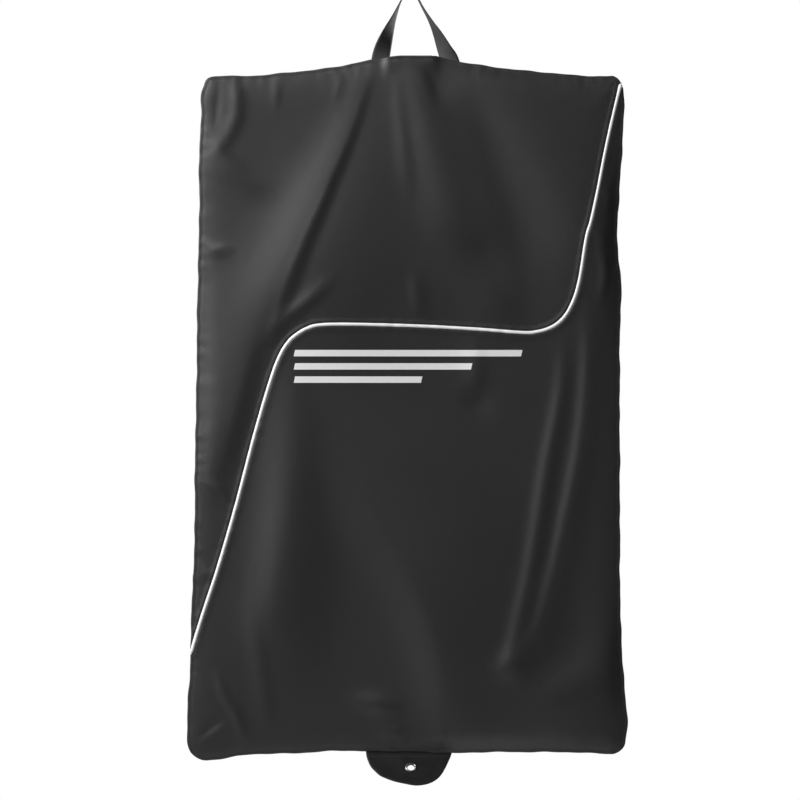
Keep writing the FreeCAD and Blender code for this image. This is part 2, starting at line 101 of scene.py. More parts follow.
def smooth_step(share: np.ndarray) -> np.ndarray:
    """0 to 1 with a soft start and end, held outside that range.

    Args:
        share: Any numbers.

    Returns:
        The eased numbers, of the same shape.
    """
    share = np.clip(share, 0.0, 1.0)
    return share * share * (3.0 - 2.0 * share)


def smooth_path(points: np.ndarray, steps: int = 10) -> np.ndarray:
    """A Catmull-Rom line through rows of numbers.

    Args:
        points: One row for each point, of any width.
        steps: Rows made for each stretch.

    Returns:
        The rows of the smooth line, the last point included.
    """
    rows = np.asarray(points, float)
    rows = np.vstack([2 * rows[0] - rows[1], rows, 2 * rows[-1] - rows[-2]])
    share = np.linspace(0, 1, steps, endpoint=False)[:, None]
    made = []
    for a, b, c, d in zip(rows, rows[1:], rows[2:], rows[3:]):
        made.append(0.5 * (2 * b + (c - a) * share + (2 * a - 5 * b + 4 * c - d) * share**2
                           + (3 * b - a - 3 * c + d) * share**3))
    return np.vstack(made + [rows[-2:-1]])


def run_along(line: np.ndarray) -> np.ndarray:
    """How far along an open line each of its rows is."""
    return np.concatenate([[0.0], np.cumsum(np.linalg.norm(np.diff(line, axis=0), axis=1))])


def ways(line: np.ndarray, looped: bool = False) -> np.ndarray:
    """The unit way of travel at each row of a line.

    Args:
        line: Rows of points.
        looped: Whether the last row leads on to the first.

    Returns:
        One unit row for each row.
    """
    way = np.roll(line, -1, axis=0) - np.roll(line, 1, axis=0) if looped else np.gradient(line, axis=0)
    return way / np.maximum(np.linalg.norm(way, axis=1)[:, None], 1e-9)


def leftward(line: np.ndarray, looped: bool = False) -> np.ndarray:
    """The unit row to the left of travel at each row, which is inwards on a counter-clockwise loop.

    Args:
        line: Rows of x and z.
        looped: Whether the last row leads on to the first.

    Returns:
        One unit row for each row.
    """
    way = ways(line, looped)
    return np.stack([-way[:, 1], way[:, 0]], axis=1)


def even_steps(line: np.ndarray, step: float) -> np.ndarray:
    """Points along an open line at an even spacing.

    Args:
        line: Rows of points.
        step: The wanted spacing, in the line's units.

    Returns:
        Rows of points from the line's start to its end.
    """
    run = run_along(line)
    at = np.linspace(0, run[-1], max(2, int(round(run[-1] / step)) + 1))
    return np.stack([np.interp(at, run, column) for column in line.T], axis=1)


def nearest_on(points: np.ndarray, line: np.ndarray) -> tuple[np.ndarray, np.ndarray, np.ndarray]:
    """How each point lies to an open line in the plane.

    Args:
        points: Rows of x and z.
        line: Rows of x and z.

    Returns:
        The distance, the run along the line, and the side from -1 (right of the way of travel)
        to 1 (left of it), which changes smoothly round the line's ends.
    """
    start, way = line[:-1], np.diff(line, axis=0)
    length = np.maximum(np.linalg.norm(way, axis=1), 1e-9)
    run = np.concatenate([[0.0], np.cumsum(length)])
    middle = start + way / 2
    first = np.concatenate([np.argmin((middle**2).sum(axis=1) - 2 * part @ middle.T, axis=1)
                            for part in np.array_split(points, len(points) // 4096 + 1)])
    best = np.full(len(points), np.inf)
    along, side = np.zeros(len(points)), np.zeros(len(points))
    for shift in (-1, 0, 1):
        pick = np.clip(first + shift, 0, len(start) - 1)
        a, d, size = start[pick], way[pick], length[pick]
        share = np.clip(((points - a) * d).sum(axis=1) / size**2, 0, 1)
        off = points - a - share[:, None] * d
        gap = np.hypot(off[:, 0], off[:, 1])
        near = gap < best
        cross = (d[:, 0] * off[:, 1] - d[:, 1] * off[:, 0]) / size / np.maximum(gap, 1e-9)
        best[near], along[near], side[near] = gap[near], (run[pick] + share * size)[near], cross[near]
    return best, along, side


def inside(points: np.ndarray, loop: np.ndarray) -> np.ndarray:
    """Whether each point lies inside a closed loop in the plane.

    Args:
        points: Rows of x and z.
        loop: Rows of x and z, without the first repeated.

    Returns:
        One truth value for each point.
    """
    found = np.zeros(len(points), bool)
    for a, b in zip(loop, np.roll(loop, -1, axis=0)):
        spans = (a[1] > points[:, 1]) != (b[1] > points[:, 1])
        rise = b[1] - a[1] if abs(b[1] - a[1]) > 1e-12 else 1e-12
        cut = (b[0] - a[0]) * (points[:, 1] - a[1]) / rise + a[0]
        found ^= spans & (points[:, 0] < cut)
    return found


def closed(loop: np.ndarray) -> np.ndarray:
    """The loop with its first row repeated at the end."""
    return np.vstack([loop, loop[:1]])


def sweep_faces(rings: int, sides: int, looped: bool = False) -> list[tuple[int, ...]]:
    """The faces of a closed section swept along a line.

    Args:
        rings: How often the section is set along the line.
        sides: Points in the section.
        looped: Whether the last ring joins the first; if not, both ends are capped.

    Returns:
        Tuples of point numbers.
    """
    faces = []
    for i in range(rings if looped else rings - 1):
        here, ahead = i * sides, (i + 1) % rings * sides
        faces += [(here + j, here + (j + 1) % sides, ahead + (j + 1) % sides, ahead + j)
                  for j in range(sides)]
    last = (rings - 1) * sides
    return faces if looped else faces + [tuple(range(sides)), tuple(range(last, last + sides))]


def grid_faces(rows: int, wide: int, first: int = 0) -> list[tuple[int, ...]]:
    """The faces of an open grid of points.

    Args:
        rows: Rows in the grid.
        wide: Points in each row.
        first: The number of its first point.

    Returns:
        Tuples of point numbers.
    """
    low = [first + r * wide + i for r in range(rows - 1) for i in range(wide - 1)]
    return [(point, point + 1, point + wide + 1, point + wide) for point in low]


def triangulated(flat: np.ndarray, loops: tuple[int, ...],
                 fill: Fill) -> tuple[np.ndarray, list[tuple[int, ...]]]:
    """Points in the plane joined into triangles.

    Args:
        flat: Rows of x and z: every loop's points in turn, and then loose points.
        loops: How many points each closed loop has.
        fill: What is filled.

    Returns:
        Rows of x and z, and the faces.
    """
    edges, first = [], 0
    for count in loops:
        edges += [(first + i, first + (i + 1) % count) for i in range(count)]
        first += count
    result = delaunay_2d_cdt([Vector(row) for row in flat.tolist()], edges, [], fill.value, 1e-5)
    return np.array([tuple(vector) for vector in result[0]]), [tuple(face) for face in result[2]]


def face_middles(where: np.ndarray, faces: list[tuple[int, ...]]) -> np.ndarray:
    """The mean of each face's points."""
    return np.array([where[list(face)].mean(axis=0) for face in faces])


def cad_box(node: str) -> tuple[np.ndarray, np.ndarray]:
    """The low and high corners of a CAD node in millimetres."""
    low, high = (np.array(corner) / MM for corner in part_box(node))
    return low, high


def new_object(name: str, points: np.ndarray, faces: list, uv: np.ndarray | None = None) -> bpy.types.Object:
    """A smooth-shaded mesh object from points in millimetres.

    Args:
        name: The piece's name.
        points: Rows of x, y and z in millimetres.
        faces: Tuples of point numbers.
        uv: Rows of u and v for each point, if the piece has a UV map.

    Returns:
        The object, linked into the scene.
    """
    mesh = bpy.data.meshes.new(name)
    mesh.from_pydata((np.asarray(points) * MM).tolist(), [], faces)
    mesh.update()
    if uv is not None:
        layer = mesh.uv_layers.new(name="cloth")
        corner = np.zeros(len(mesh.loops), np.int32)
        mesh.loops.foreach_get("vertex_index", corner)
        layer.data.foreach_set("uv", np.asarray(uv, np.float32)[corner].ravel())
    made = bpy.data.objects.new(name, mesh)
    bpy.context.scene.collection.objects.link(made)
    return smoothed(made)


def tube(line: np.ndarray, radius: np.ndarray, sides: int = 12) -> tuple[np.ndarray, list, np.ndarray]:
    """A capped round tube along a line.

    Args:
        line: Rows of x, y and z in millimetres.
        radius: The radius at each row.
        sides: Points in each ring.

    Returns:
        Points, faces, and a UV row for each point: share round the tube, and run in metres.
    """
    bulge = 0.4
    way = ways(line)
    across = np.cross(way, (0.0, 1.0, 0.0))
    across /= np.linalg.norm(across, axis=1)[:, None]
    up = np.cross(across, way)
    turn = np.arange(sides) * 2 * math.pi / sides
    rings = (line[:, None] + radius[:, None, None] * (np.cos(turn)[None, :, None] * across[:, None]
                                                      + np.sin(turn)[None, :, None] * up[:, None]))
    count = len(line)
    points = np.vstack([rings.reshape(-1, 3), line[0] - way[0] * radius[0] * bulge,
                        line[-1] + way[-1] * radius[-1] * bulge])
    faces = sweep_faces(count, sides)[:-2]
    first, last = count * sides, count * sides + 1
    faces += [(first, (j + 1) % sides, j) for j in range(sides)]
    faces += [(last, (count - 1) * sides + j, (count - 1) * sides + (j + 1) % sides) for j in range(sides)]
    run = run_along(line) * MM
    uv = np.stack([np.tile(np.arange(sides) / sides, count), np.repeat(run, sides)], axis=1)
    return points, faces, np.vstack([uv, [[0.5, 0.0]], [[0.5, run[-1]]]])


def smoothed(made: bpy.types.Object) -> bpy.types.Object:
    """The object with every face shaded smooth."""
    made.data.polygons.foreach_set("use_smooth", np.ones(len(made.data.polygons), bool))
    return made


def outward(made: bpy.types.Object) -> bpy.types.Object:
    """Turns every face of a closed mesh outwards.

    Args:
        made: The object.

    Returns:
        The same object.
    """
    shell = bmesh.new()
    shell.from_mesh(made.data)
    bmesh.ops.recalc_face_normals(shell, faces=shell.faces)
    shell.to_mesh(made.data)
    shell.free()
    return made


def settled(made: bpy.types.Object) -> bpy.types.Object:
    """Applies an object's modifiers and removes them.

    Args:
        made: The object.

    Returns:
        The same object as a plain mesh.
    """
    graph = bpy.context.evaluated_depsgraph_get()
    mesh = bpy.data.meshes.new_from_object(made.evaluated_get(graph), preserve_all_data_layers=True,
                                           depsgraph=graph)
    made.modifiers.clear()
    old = made.data
    made.data = mesh
    mesh.name = made.name
    if old.users == 0:
        bpy.data.meshes.remove(old)
    return made


def thickened(made: bpy.types.Object, thick: float) -> bpy.types.Object:
    """The object with its faces given a thickness behind them.

    Args:
        made: The object.
        thick: The thickness in millimetres.

    Returns:
        The same object as a plain mesh.
    """
    shell = made.modifiers.new("thickness", "SOLIDIFY")
    shell.thickness, shell.offset = thick * MM, -1.0
    return settled(made)


def set_wear(made: bpy.types.Object, values: np.ndarray) -> bpy.types.Object:
    """The object with the wear attribute that its finish reads.

    Args:
        made: The object.
        values: How worn each point of the mesh is, from 0 to 1.

    Returns:
        The same object.
    """
    wear = made.data.attributes.get("wear") or made.data.attributes.new("wear", "FLOAT", "POINT")
    wear.data.foreach_set("value", np.asarray(values, np.float32))
    return made


# ---- Finishes ----

Socket = bpy.types.NodeSocket


class Board:
    """The nodes of a material or a geometry tree, added and joined with short calls."""

    def __init__(self, tree: bpy.types.NodeTree) -> None:
        """Starts with an empty tree."""
        self.tree = tree
        tree.nodes.clear()

    def add(self, kind: str, inputs: dict | None = None, **settings: object) -> bpy.types.Node:
        """Adds one node.

        Args:
            kind: The node's type.
            inputs: For an input's name or number, its value or the output that feeds it.
            settings: The node's own properties.

        Returns:
            The node.
        """
        node = self.tree.nodes.new(kind)
        for name, value in settings.items():
            setattr(node, name, value)
        for name, value in (inputs or {}).items():
            if isinstance(value, Socket):
                self.tree.links.new(value, node.inputs[name])
            else:
                node.inputs[name].default_value = value
        return node

    def math(self, operation: str, *values: float | Socket) -> Socket:
        """The output of a Math node.

        Args:
            operation: The node's operation.
            values: Its values or the outputs that feed it.

        Returns:
            The output.
        """
        return self.add("ShaderNodeMath", dict(enumerate(values)), operation=operation).outputs[0]

    def times(self, first: float | Socket, second: float | Socket) -> Socket:
        """The product of two values."""
        return self.math("MULTIPLY", first, second)

    def plus(self, first: float | Socket, second: float | Socket) -> Socket:
        """The sum of two values."""
        return self.math("ADD", first, second)

    def solid(self) -> Socket:
        """The piece's own coordinates in metres."""
        return self.add("ShaderNodeTexCoord").outputs["Object"]

    def flat(self) -> Socket:
        """The piece's UV map."""
        return self.add("ShaderNodeUVMap", uv_map="cloth").outputs[0]

    def mix(self, factor: float | Socket, low: tuple | Socket, high: tuple | Socket) -> Socket:
        """The output of a colour mix.

        Args:
            factor: 0 gives low and 1 gives high.
            low: The first colour.
            high: The second colour.

        Returns:
            The mixed colour.
        """
        return self.add("ShaderNodeMix", {0: factor, 6: low, 7: high}, data_type="RGBA").outputs[2]

    def band(self, value: Socket, low: float, high: float, to_low: float = 0.0,
             to_high: float = 1.0) -> Socket:
        """The value, with low to high mapped smoothly onto to_low to to_high.

        Args:
            value: The output that is mapped.
            low: The value that gives to_low.
            high: The value that gives to_high.
            to_low: The result below low.
            to_high: The result above high.

        Returns:
            The mapped value.
        """
        node = self.add("ShaderNodeMapRange", {0: value, 1: low, 2: high, 3: to_low, 4: to_high},
                        interpolation_type="SMOOTHSTEP")
        return node.outputs[0]

    def noise(self, where: Socket, scale: float, detail: float = 2.0) -> Socket:
        """The value of a noise texture.

        Args:
            where: The coordinates.
            scale: Lumps for each unit.
            detail: Octaves.

        Returns:
            The noise, about 0.5.
        """
        return self.add("ShaderNodeTexNoise", {"Vector": where, "Scale": scale, "Detail": detail}).outputs[0]

    def streaks(self, where: Socket, scale: tuple[float, float, float], detail: float) -> Socket:
        """The value of a noise texture that is stretched along the axes.

        Args:
            where: The coordinates.
            scale: Lumps for each unit along each axis.
            detail: Octaves.

        Returns:
            The noise, about 0.5.
        """
        mapped = self.add("ShaderNodeMapping", {"Vector": where, "Scale": scale}).outputs[0]
        return self.noise(mapped, 1.0, detail)

    def wear(self) -> Socket:
        """The piece's wear attribute."""
        return self.add("ShaderNodeAttribute", attribute_name="wear").outputs["Fac"]

    def bump(self, height: Socket, depth: float, under: Socket | None = None) -> Socket:
        """A bumped normal.

        Args:
            height: The height, from 0 to 1.
            depth: The height's depth in metres.
            under: The normal that this bump lies on.

        Returns:
            The normal.
        """
        inputs = {"Strength": 1.0, "Distance": depth, "Height": height}
        if under is not None:
            inputs["Normal"] = under
        return self.add("ShaderNodeBump", inputs).outputs[0]


@dataclass(frozen=True)
class Finish:
    """A surface finish, made as one Principled material."""

    name: str
    colour: tuple[float, float, float] = (0.02, 0.02, 0.021)
    light: tuple[float, float, float] = (0.05, 0.05, 0.052)
    roughness: float = 0.5
    metallic: float = 0.0
    sheen: float = 0.0
    specular: float = 0.5

    def material(self) -> bpy.types.Material:
        """The finish's material, made the first time it is asked for."""
        label = f"finish_{self.name}"
        made = bpy.data.materials.get(label)
        if made is None:
            made = bpy.data.materials.new(label)
            made.use_nodes = True
            board = Board(made.node_tree)
            shader = board.add("ShaderNodeBsdfPrincipled", {
                "Metallic": self.metallic, "Specular IOR Level": self.specular, "Sheen Weight": self.sheen,
                "Sheen Roughness": 0.45})
            self.weave(board, shader)
            board.add("ShaderNodeOutputMaterial", {0: shader.outputs[0]})
        return made

    def weave(self, board: Board, shader: bpy.types.Node) -> None:
        """Joins the finish's pattern to the shader.

        Args:
            board: The material's nodes.
            shader: The Principled shader.
        """
        raise NotImplementedError

    def dress(self, made: bpy.types.Object) -> None:
        """Makes the finish an object's only material."""
        made.data.materials.clear()
        made.data.materials.append(self.material())

    def paint(self, board: Board, shader: bpy.types.Node, tone: Socket, rough: Socket,
              normal: Socket) -> None:
        """Feeds the shader.

        Args:
            board: The material's nodes.
            shader: The Principled shader.
            tone: 0 gives the finish's colour and 1 gives its light.
            rough: The roughness.
            normal: The bumped normal.
        """
        base = board.mix(tone, (*self.colour, 1.0), (*self.light, 1.0))
        for name, value in (("Base Color", base), ("Roughness", rough), ("Normal", normal)):
            board.tree.links.new(value, shader.inputs[name])


@dataclass(frozen=True)
class Cloth(Finish):
    """A plain-woven cloth that reads the UV map in metres and the wear attribute."""

    pitch: float = 0.00062
    depth: float = 0.00005
    crinkle: float = 0.00022
    grain: float = 0.35

    def weave(self, board: Board, shader: bpy.types.Node) -> None:
        """Joins yarns, slubs, crinkles and wear to the shader, with painted shade in the hollows between the
        yarns.

        Args:
            board: The material's nodes.
            shader: The Principled shader.
        """
        flat = board.flat()
        solid = board.solid()
        parts = board.add("ShaderNodeSeparateXYZ", {0: flat})
        turn = math.pi / self.pitch
        warp, weft = (board.times(parts.outputs[axis], turn) for axis in (0, 1))
        over = board.times(board.math("SINE", warp), board.math("SINE", weft))
        yarns = [board.math("ABSOLUTE", board.math("COSINE", run)) for run in (warp, weft)]
        top = board.math("GREATER_THAN", over, 0.0)
        under = board.math("SUBTRACT", 1.0, top)
        height = board.plus(board.times(yarns[0], top), board.times(yarns[1], under))
        slub = board.times(*(board.streaks(flat, scale, 1.0)
                             for scale in ((1500.0, 90.0, 1.0), (90.0, 1500.0, 1.0))))
        speck = board.noise(flat, 900.0, 3.0)
        broad = board.noise(solid, 9.0, 3.0)
        rubbed = board.times(board.wear(), board.band(board.noise(solid, 260.0, 4.0), 0.35, 0.7))
        tone = board.plus(board.times(speck, self.grain), board.times(slub, self.grain * 1.4))
        tone = board.plus(tone, board.band(broad, 0.3, 0.7, -0.06, 0.06))
        tone = board.plus(tone, board.times(rubbed, 0.6))
        # painted shade: the colour darkens where the yarns fall away into the hollows of the weave
        tone = board.times(tone, board.band(height, 0.0, 0.9, 0.55, 1.0))
        rough = board.plus(board.band(speck, 0.25, 0.75, self.roughness - 0.06, self.roughness + 0.08),
                           board.times(rubbed, 0.12))
        normal = board.bump(board.streaks(flat, (70.0, 38.0, 1.0), 4.0), self.crinkle)
        normal = board.bump(board.plus(height, board.times(slub, 1.6)), self.depth, normal)
        self.paint(board, shader, tone, rough, normal)


@dataclass(frozen=True)
class Ribbed(Finish):
    """A narrow woven tape, webbing or binding, with ribs that follow its UV map in metres."""

    rib: float = 0.0013
    depth: float = 0.00016

    def weave(self, board: Board, shader: bpy.types.Node) -> None:
        """Joins the ribs and their yarns to the shader, with painted shade in the hollows between the ribs.

        Args:
            board: The material's nodes.
            shader: The Principled shader.
        """
        flat = board.flat()
        parts = board.add("ShaderNodeSeparateXYZ", {0: flat})
        across, along = (board.times(parts.outputs[axis], math.pi / self.rib) for axis in (0, 1))
        cell = board.math("ROUND", board.math("DIVIDE", across, math.pi))
        shifted = board.plus(along, board.times(cell, math.pi / 2))
        ridge = board.math("ABSOLUTE", board.math("COSINE", across))
        beads = board.math("ABSOLUTE", board.math("SINE", shifted))
        height = board.times(board.math("POWER", ridge, 0.6), board.math("POWER", beads, 0.5))
        fuzz = board.noise(flat, 2600.0, 3.0)
        # painted shade: the colour follows the rib height, darker in the hollows between ribs and beads
        tone = board.plus(board.times(height, 0.5), board.times(fuzz, 0.5))
        normal = board.bump(fuzz, self.depth * 0.3, board.bump(height, self.depth))
        rough = board.band(fuzz, 0.3, 0.7, self.roughness - 0.05, self.roughness + 0.1)
        self.paint(board, shader, tone, rough, normal)


@dataclass(frozen=True)
class Grained(Finish):
    """A coated or moulded surface with a fine pebble grain and worn high spots."""

    grain: float = 1100.0
    depth: float = 0.00008
    worn: float = 0.3

    def weave(self, board: Board, shader: bpy.types.Node) -> None:
        """Joins the pebbles, scuffs and wear to the shader.

        Args:
            board: The material's nodes.
            shader: The Principled shader.
        """
        solid = board.solid()
        cells = board.add("ShaderNodeTexVoronoi", {"Vector": solid, "Scale": self.grain},
                          feature="SMOOTH_F1").outputs["Distance"]
        pebble = board.band(cells, 0.1, 0.6, 1.0, 0.0)
        fine = board.noise(solid, self.grain * 2.4, 3.0)
        broad = board.noise(solid, 45.0, 4.0)
        rubbed = board.times(board.wear(), board.band(board.noise(solid, 420.0, 4.0), 0.3, 0.62))
        tone = board.plus(board.times(rubbed, 0.9), board.times(board.band(broad, 0.5, 0.75), self.worn))
        tone = board.plus(tone, board.times(fine, 0.2))
        rough = board.band(broad, 0.3, 0.7, self.roughness - 0.07, self.roughness + 0.09)
        normal = board.bump(fine, self.depth * 0.25, board.bump(pebble, self.depth))
        self.paint(board, shader, tone, rough, normal)


@dataclass(frozen=True)
class Plated(Finish):
    """A plated or blackened metal with brushed scratches, and bare metal where it is rubbed."""

    metallic: float = 1.0
    scratch: float = 0.00002

    def weave(self, board: Board, shader: bpy.types.Node) -> None:
        """Joins scratches and rubbed rims to the shader.

        Args:
            board: The material's nodes.
            shader: The Principled shader.
        """
        solid = board.solid()
        streak = board.streaks(solid, (260.0, 260.0, 3200.0), 3.0)
        spots = board.noise(solid, 700.0, 4.0)
        bare = board.times(board.wear(), board.band(spots, 0.38, 0.6))
        tone = board.plus(board.times(bare, 0.85), board.times(streak, 0.15))
        rough = board.band(streak, 0.3, 0.7, self.roughness - 0.08, self.roughness + 0.1)
        normal = board.bump(streak, self.scratch)
        self.paint(board, shader, tone, rough, normal)


@dataclass(frozen=True)
class Spun(Finish):
    """A thread, cord or coated tube that reads its own UV map: share round it and run in metres."""

    twist: float = 0.0012
    depth: float = 0.00012

    def weave(self, board: Board, shader: bpy.types.Node) -> None:
        """Joins the plies and the fine yarn grain to the shader, with painted shade in the grooves between
        the plies.

        Args:
            board: The material's nodes.
            shader: The Principled shader.
        """
        flat = board.flat()
        solid = board.solid()
        parts = board.add("ShaderNodeSeparateXYZ", {0: flat})
        turn = board.plus(board.times(parts.outputs[0], math.tau),
                          board.times(parts.outputs[1], math.pi / self.twist))
        plies = board.math("ABSOLUTE", board.math("SINE", turn))
        fine = board.noise(solid, 1800.0, 3.0)
        broad = board.noise(solid, 60.0, 3.0)
        # painted shade: the colour follows the ply height, darker in the grooves between the plies
        tone = board.plus(board.times(plies, 0.3), board.times(fine, 0.4))
        tone = board.plus(tone, board.band(broad, 0.3, 0.7, 0.0, 0.3))
        rough = board.band(fine, 0.3, 0.7, self.roughness - 0.06, self.roughness + 0.08)
        normal = board.bump(fine, self.depth * 0.3, board.bump(plies, self.depth))
        self.paint(board, shader, tone, rough, normal)


BLACK_POLYESTER = Cloth("black_polyester", (0.010, 0.0101, 0.0107), (0.030, 0.0302, 0.0315), 0.45)
WHITE_PRINT = Cloth("white_print", (0.70, 0.70, 0.70), (0.90, 0.90, 0.90), 0.5, depth=0.00003, grain=0.5)
BLACK_WEBBING = Ribbed("black_webbing", (0.014, 0.014, 0.015), (0.042, 0.042, 0.044), 0.62, sheen=0.1)
SEAM_BINDING = Ribbed("seam_binding", (0.012, 0.012, 0.013), (0.035, 0.035, 0.037), 0.66, rib=0.0007,
                      depth=0.00006)
ZIP_TAPE = Ribbed("zip_tape", (0.012, 0.012, 0.013), (0.036, 0.036, 0.038), 0.68, rib=0.0006, depth=0.00006)
BLACK_THREAD = Spun("black_thread", (0.016, 0.016, 0.017), (0.05, 0.05, 0.052), 0.42, twist=0.0004,
                    depth=0.00003)
WHITE_PIPING = Spun("white_piping", (0.88, 0.88, 0.875), (0.97, 0.97, 0.965), 0.4, twist=0.0035,
                    depth=0.00003)
PIPING_CORD = Spun("piping_cord", (0.45, 0.44, 0.41), (0.8, 0.79, 0.75), 0.8, twist=0.0016, depth=0.0003)
ZIP_COIL = Grained("zip_coil", (0.012, 0.012, 0.013), (0.05, 0.05, 0.052), 0.3, grain=2600.0, depth=0.00001)
BLACK_VINYL = Grained("black_vinyl", (0.0045, 0.0045, 0.0048), (0.034, 0.034, 0.035), 0.52, grain=1900.0,
                      depth=0.000028, worn=0.06, specular=0.2)
PULL_GRIP = Grained("pull_grip", (0.012, 0.012, 0.013), (0.06, 0.06, 0.062), 0.55, grain=1800.0,
                    depth=0.00003)
ZIP_METAL = Plated("zip_metal", (0.07, 0.07, 0.075), (0.55, 0.55, 0.56), 0.34)
EYELET_METAL = Plated("eyelet_metal", (0.02, 0.02, 0.022), (0.42, 0.42, 0.43), 0.36)


# ---- Shared behaviour of the pieces ----


@dataclass(frozen=True)
class Crossing:
    """A stretch where cloth turns from one body to the next."""

    before: Body
    after: Body
    start: tuple[float, float, float]
    end: tuple[float, float, float]

    def bend(self, piece: bpy.types.Object) -> bpy.types.Object:
        """Bakes a finished piece's transform into its mesh; the piece is tied to neither body.

        Args:
            piece: The piece, its mesh final.

        Returns:
            The same piece.
        """
        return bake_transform(piece)


FOLD = Crossing(Body.UPPER, Body.LOWER, (0.0, 0.0, -551.0), (0.0, 0.0, -612.0))
HANDLE_ROOT = Crossing(Body.UPPER, Body.HANDLE, (0.0, 0.0, -97.0), (0.0, 0.0, -87.0))
TAB_ROOT = Crossing(Body.LOWER, Body.TAB, (0.0, 0.0, -1067.0), (0.0, -4.0, -1075.0))


def place(piece: bpy.types.Object, finish: Finish, where: Body | Crossing,
          nodes: tuple[str, ...] = ()) -> bpy.types.Object:
    """Dresses a piece, ties it to its body or only bakes its transform at a crossing, and hides the CAD nodes
    it replaces.

    Args:
        piece: The piece, its mesh final.
        finish: Its finish.
        where: The body it rides on, or the crossing where it sits.
        nodes: The CAD nodes it replaces.

    Returns:
        The same piece.
    """
    finish.dress(piece)
    if isinstance(where, Crossing):
        where.bend(piece)
    else:
        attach(piece, where.value)
    if nodes:
        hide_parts(*nodes)
    LOG.info("%s: %d faces", piece.name, len(piece.data.polygons))
    return piece


def split_nodes(*names: str) -> tuple[str, ...]:
    """The CAD nodes of parts that are made in two at the fold."""
    return tuple(f"{name}_{half}_fold" for name in names for half in ("above", "below"))


class Repeater:
    """Geometry Nodes that set a small shape along a line at an even pitch."""

    seed: int = 7

    def __init__(self, name: str, finish: Finish, shape: "Shape") -> None:
        """Builds the tree.

        Args:
            name: The tree's name.
            finish: The finish of what it makes.
            shape: The repeated shape.
        """
        self.tree = bpy.data.node_groups.new(name, "GeometryNodeTree")
        face = self.tree.interface
        face.new_socket("Line", in_out="INPUT", socket_type="NodeSocketGeometry")
        self.keys = {}
        for label, value in (("Pitch", 3.4), ("Length", 2.8), ("Width", 0.5), ("Height", 0.4),
                             ("Loose", 0.06)):
            made = face.new_socket(label, in_out="INPUT", socket_type="NodeSocketFloat")
            made.default_value = value
            self.keys[label] = made.identifier
        face.new_socket("Made", in_out="OUTPUT", socket_type="NodeSocketGeometry")
        board = Board(self.tree)
        given = board.add("NodeGroupInput").outputs
        metres = {label: board.times(given[label], MM)
                  for label in ("Pitch", "Length", "Width", "Height")}
        line = board.add("GeometryNodeMeshToCurve", {0: given["Line"]}).outputs[0]
        points = board.add("GeometryNodeCurveToPoints", {"Curve": line, "Length": metres["Pitch"]},
                           mode="LENGTH")
        drift = board.add("FunctionNodeRandomValue", {
            "Min": (-1.0, -1.0, -1.0), "Max": (1.0, 1.0, 1.0), "Seed": self.seed},
            data_type="FLOAT_VECTOR").outputs[0]
        tilt = board.add("ShaderNodeVectorMath", {0: drift, 3: given["Loose"]}, operation="SCALE").outputs[0]
        turned = board.add("FunctionNodeRotateRotation", {0: points.outputs["Rotation"], 1: tilt},
                           rotation_space="LOCAL").outputs[0]
        size = board.add("ShaderNodeCombineXYZ", {
            0: metres["Height"], 1: metres["Width"], 2: metres["Length"]})
        many = board.add("GeometryNodeInstanceOnPoints", {
            "Points": points.outputs[0], "Instance": shape.build(board), "Rotation": turned,
            "Scale": size.outputs[0]})
        real = board.add("GeometryNodeRealizeInstances", {0: many.outputs[0]}).outputs[0]
        soft = board.add("GeometryNodeSetShadeSmooth", {0: real}).outputs[0]
        dressed = board.add("GeometryNodeSetMaterial", {0: soft, "Material": finish.material()}).outputs[0]
        board.add("NodeGroupOutput", {0: dressed})

    def along(self, name: str, lines: list[np.ndarray], **sizes: float) -> bpy.types.Object:
        """Sets the shape along some lines.

        Args:
            name: The piece's name.
            lines: Rows of x, y and z in millimetres for each open line.
            sizes: Pitch, Length, Width and Height in millimetres, and Loose, a tilt in radians.

        Returns:
            The piece as a plain mesh.
        """
        points, edges = [], []
        for line in lines:
            first = len(points)
            points += (np.asarray(line) * MM).tolist()
            edges += [(i, i + 1) for i in range(first, len(points) - 1)]
        mesh = bpy.data.meshes.new(name)
        mesh.from_pydata(points, edges, [])
        made = bpy.data.objects.new(name, mesh)
        bpy.context.scene.collection.objects.link(made)
        nodes = made.modifiers.new("repeat", "NODES")
        nodes.node_group = self.tree
        for label, value in sizes.items():
            nodes[self.keys[label]] = value
        return outward(settled(made))


class Shape(Enum):
    """The small shapes that are repeated along lines."""

    STITCH = "stitch"
    TOOTH = "tooth"

    def build(self, board: Board) -> Socket:
        """Adds the shape's nodes.

        Args:
            board: The geometry tree.

        Returns:
            The shape, one unit long each way, its length along Z.
        """
        if self is Shape.STITCH:
            ball = board.add("GeometryNodeMeshUVSphere", {"Segments": 6, "Rings": 5, "Radius": 0.5})
            return ball.outputs[0]
        arch = board.add("GeometryNodeCurveArc", {"Resolution": 7, "Radius": 0.5, "Start Angle": 0.3,
                                                  "Sweep Angle": 2.54}).outputs[0]
        wire = board.add("GeometryNodeCurvePrimitiveCircle", {"Resolution": 6, "Radius": 0.13}).outputs[0]
        return board.add("GeometryNodeCurveToMesh", {0: arch, 1: wire, "Fill Caps": True}).outputs[0]


# ---- The hung shape of the cloth ----


# How many reaches away from its line a fold has died out.
FADED = 2.7


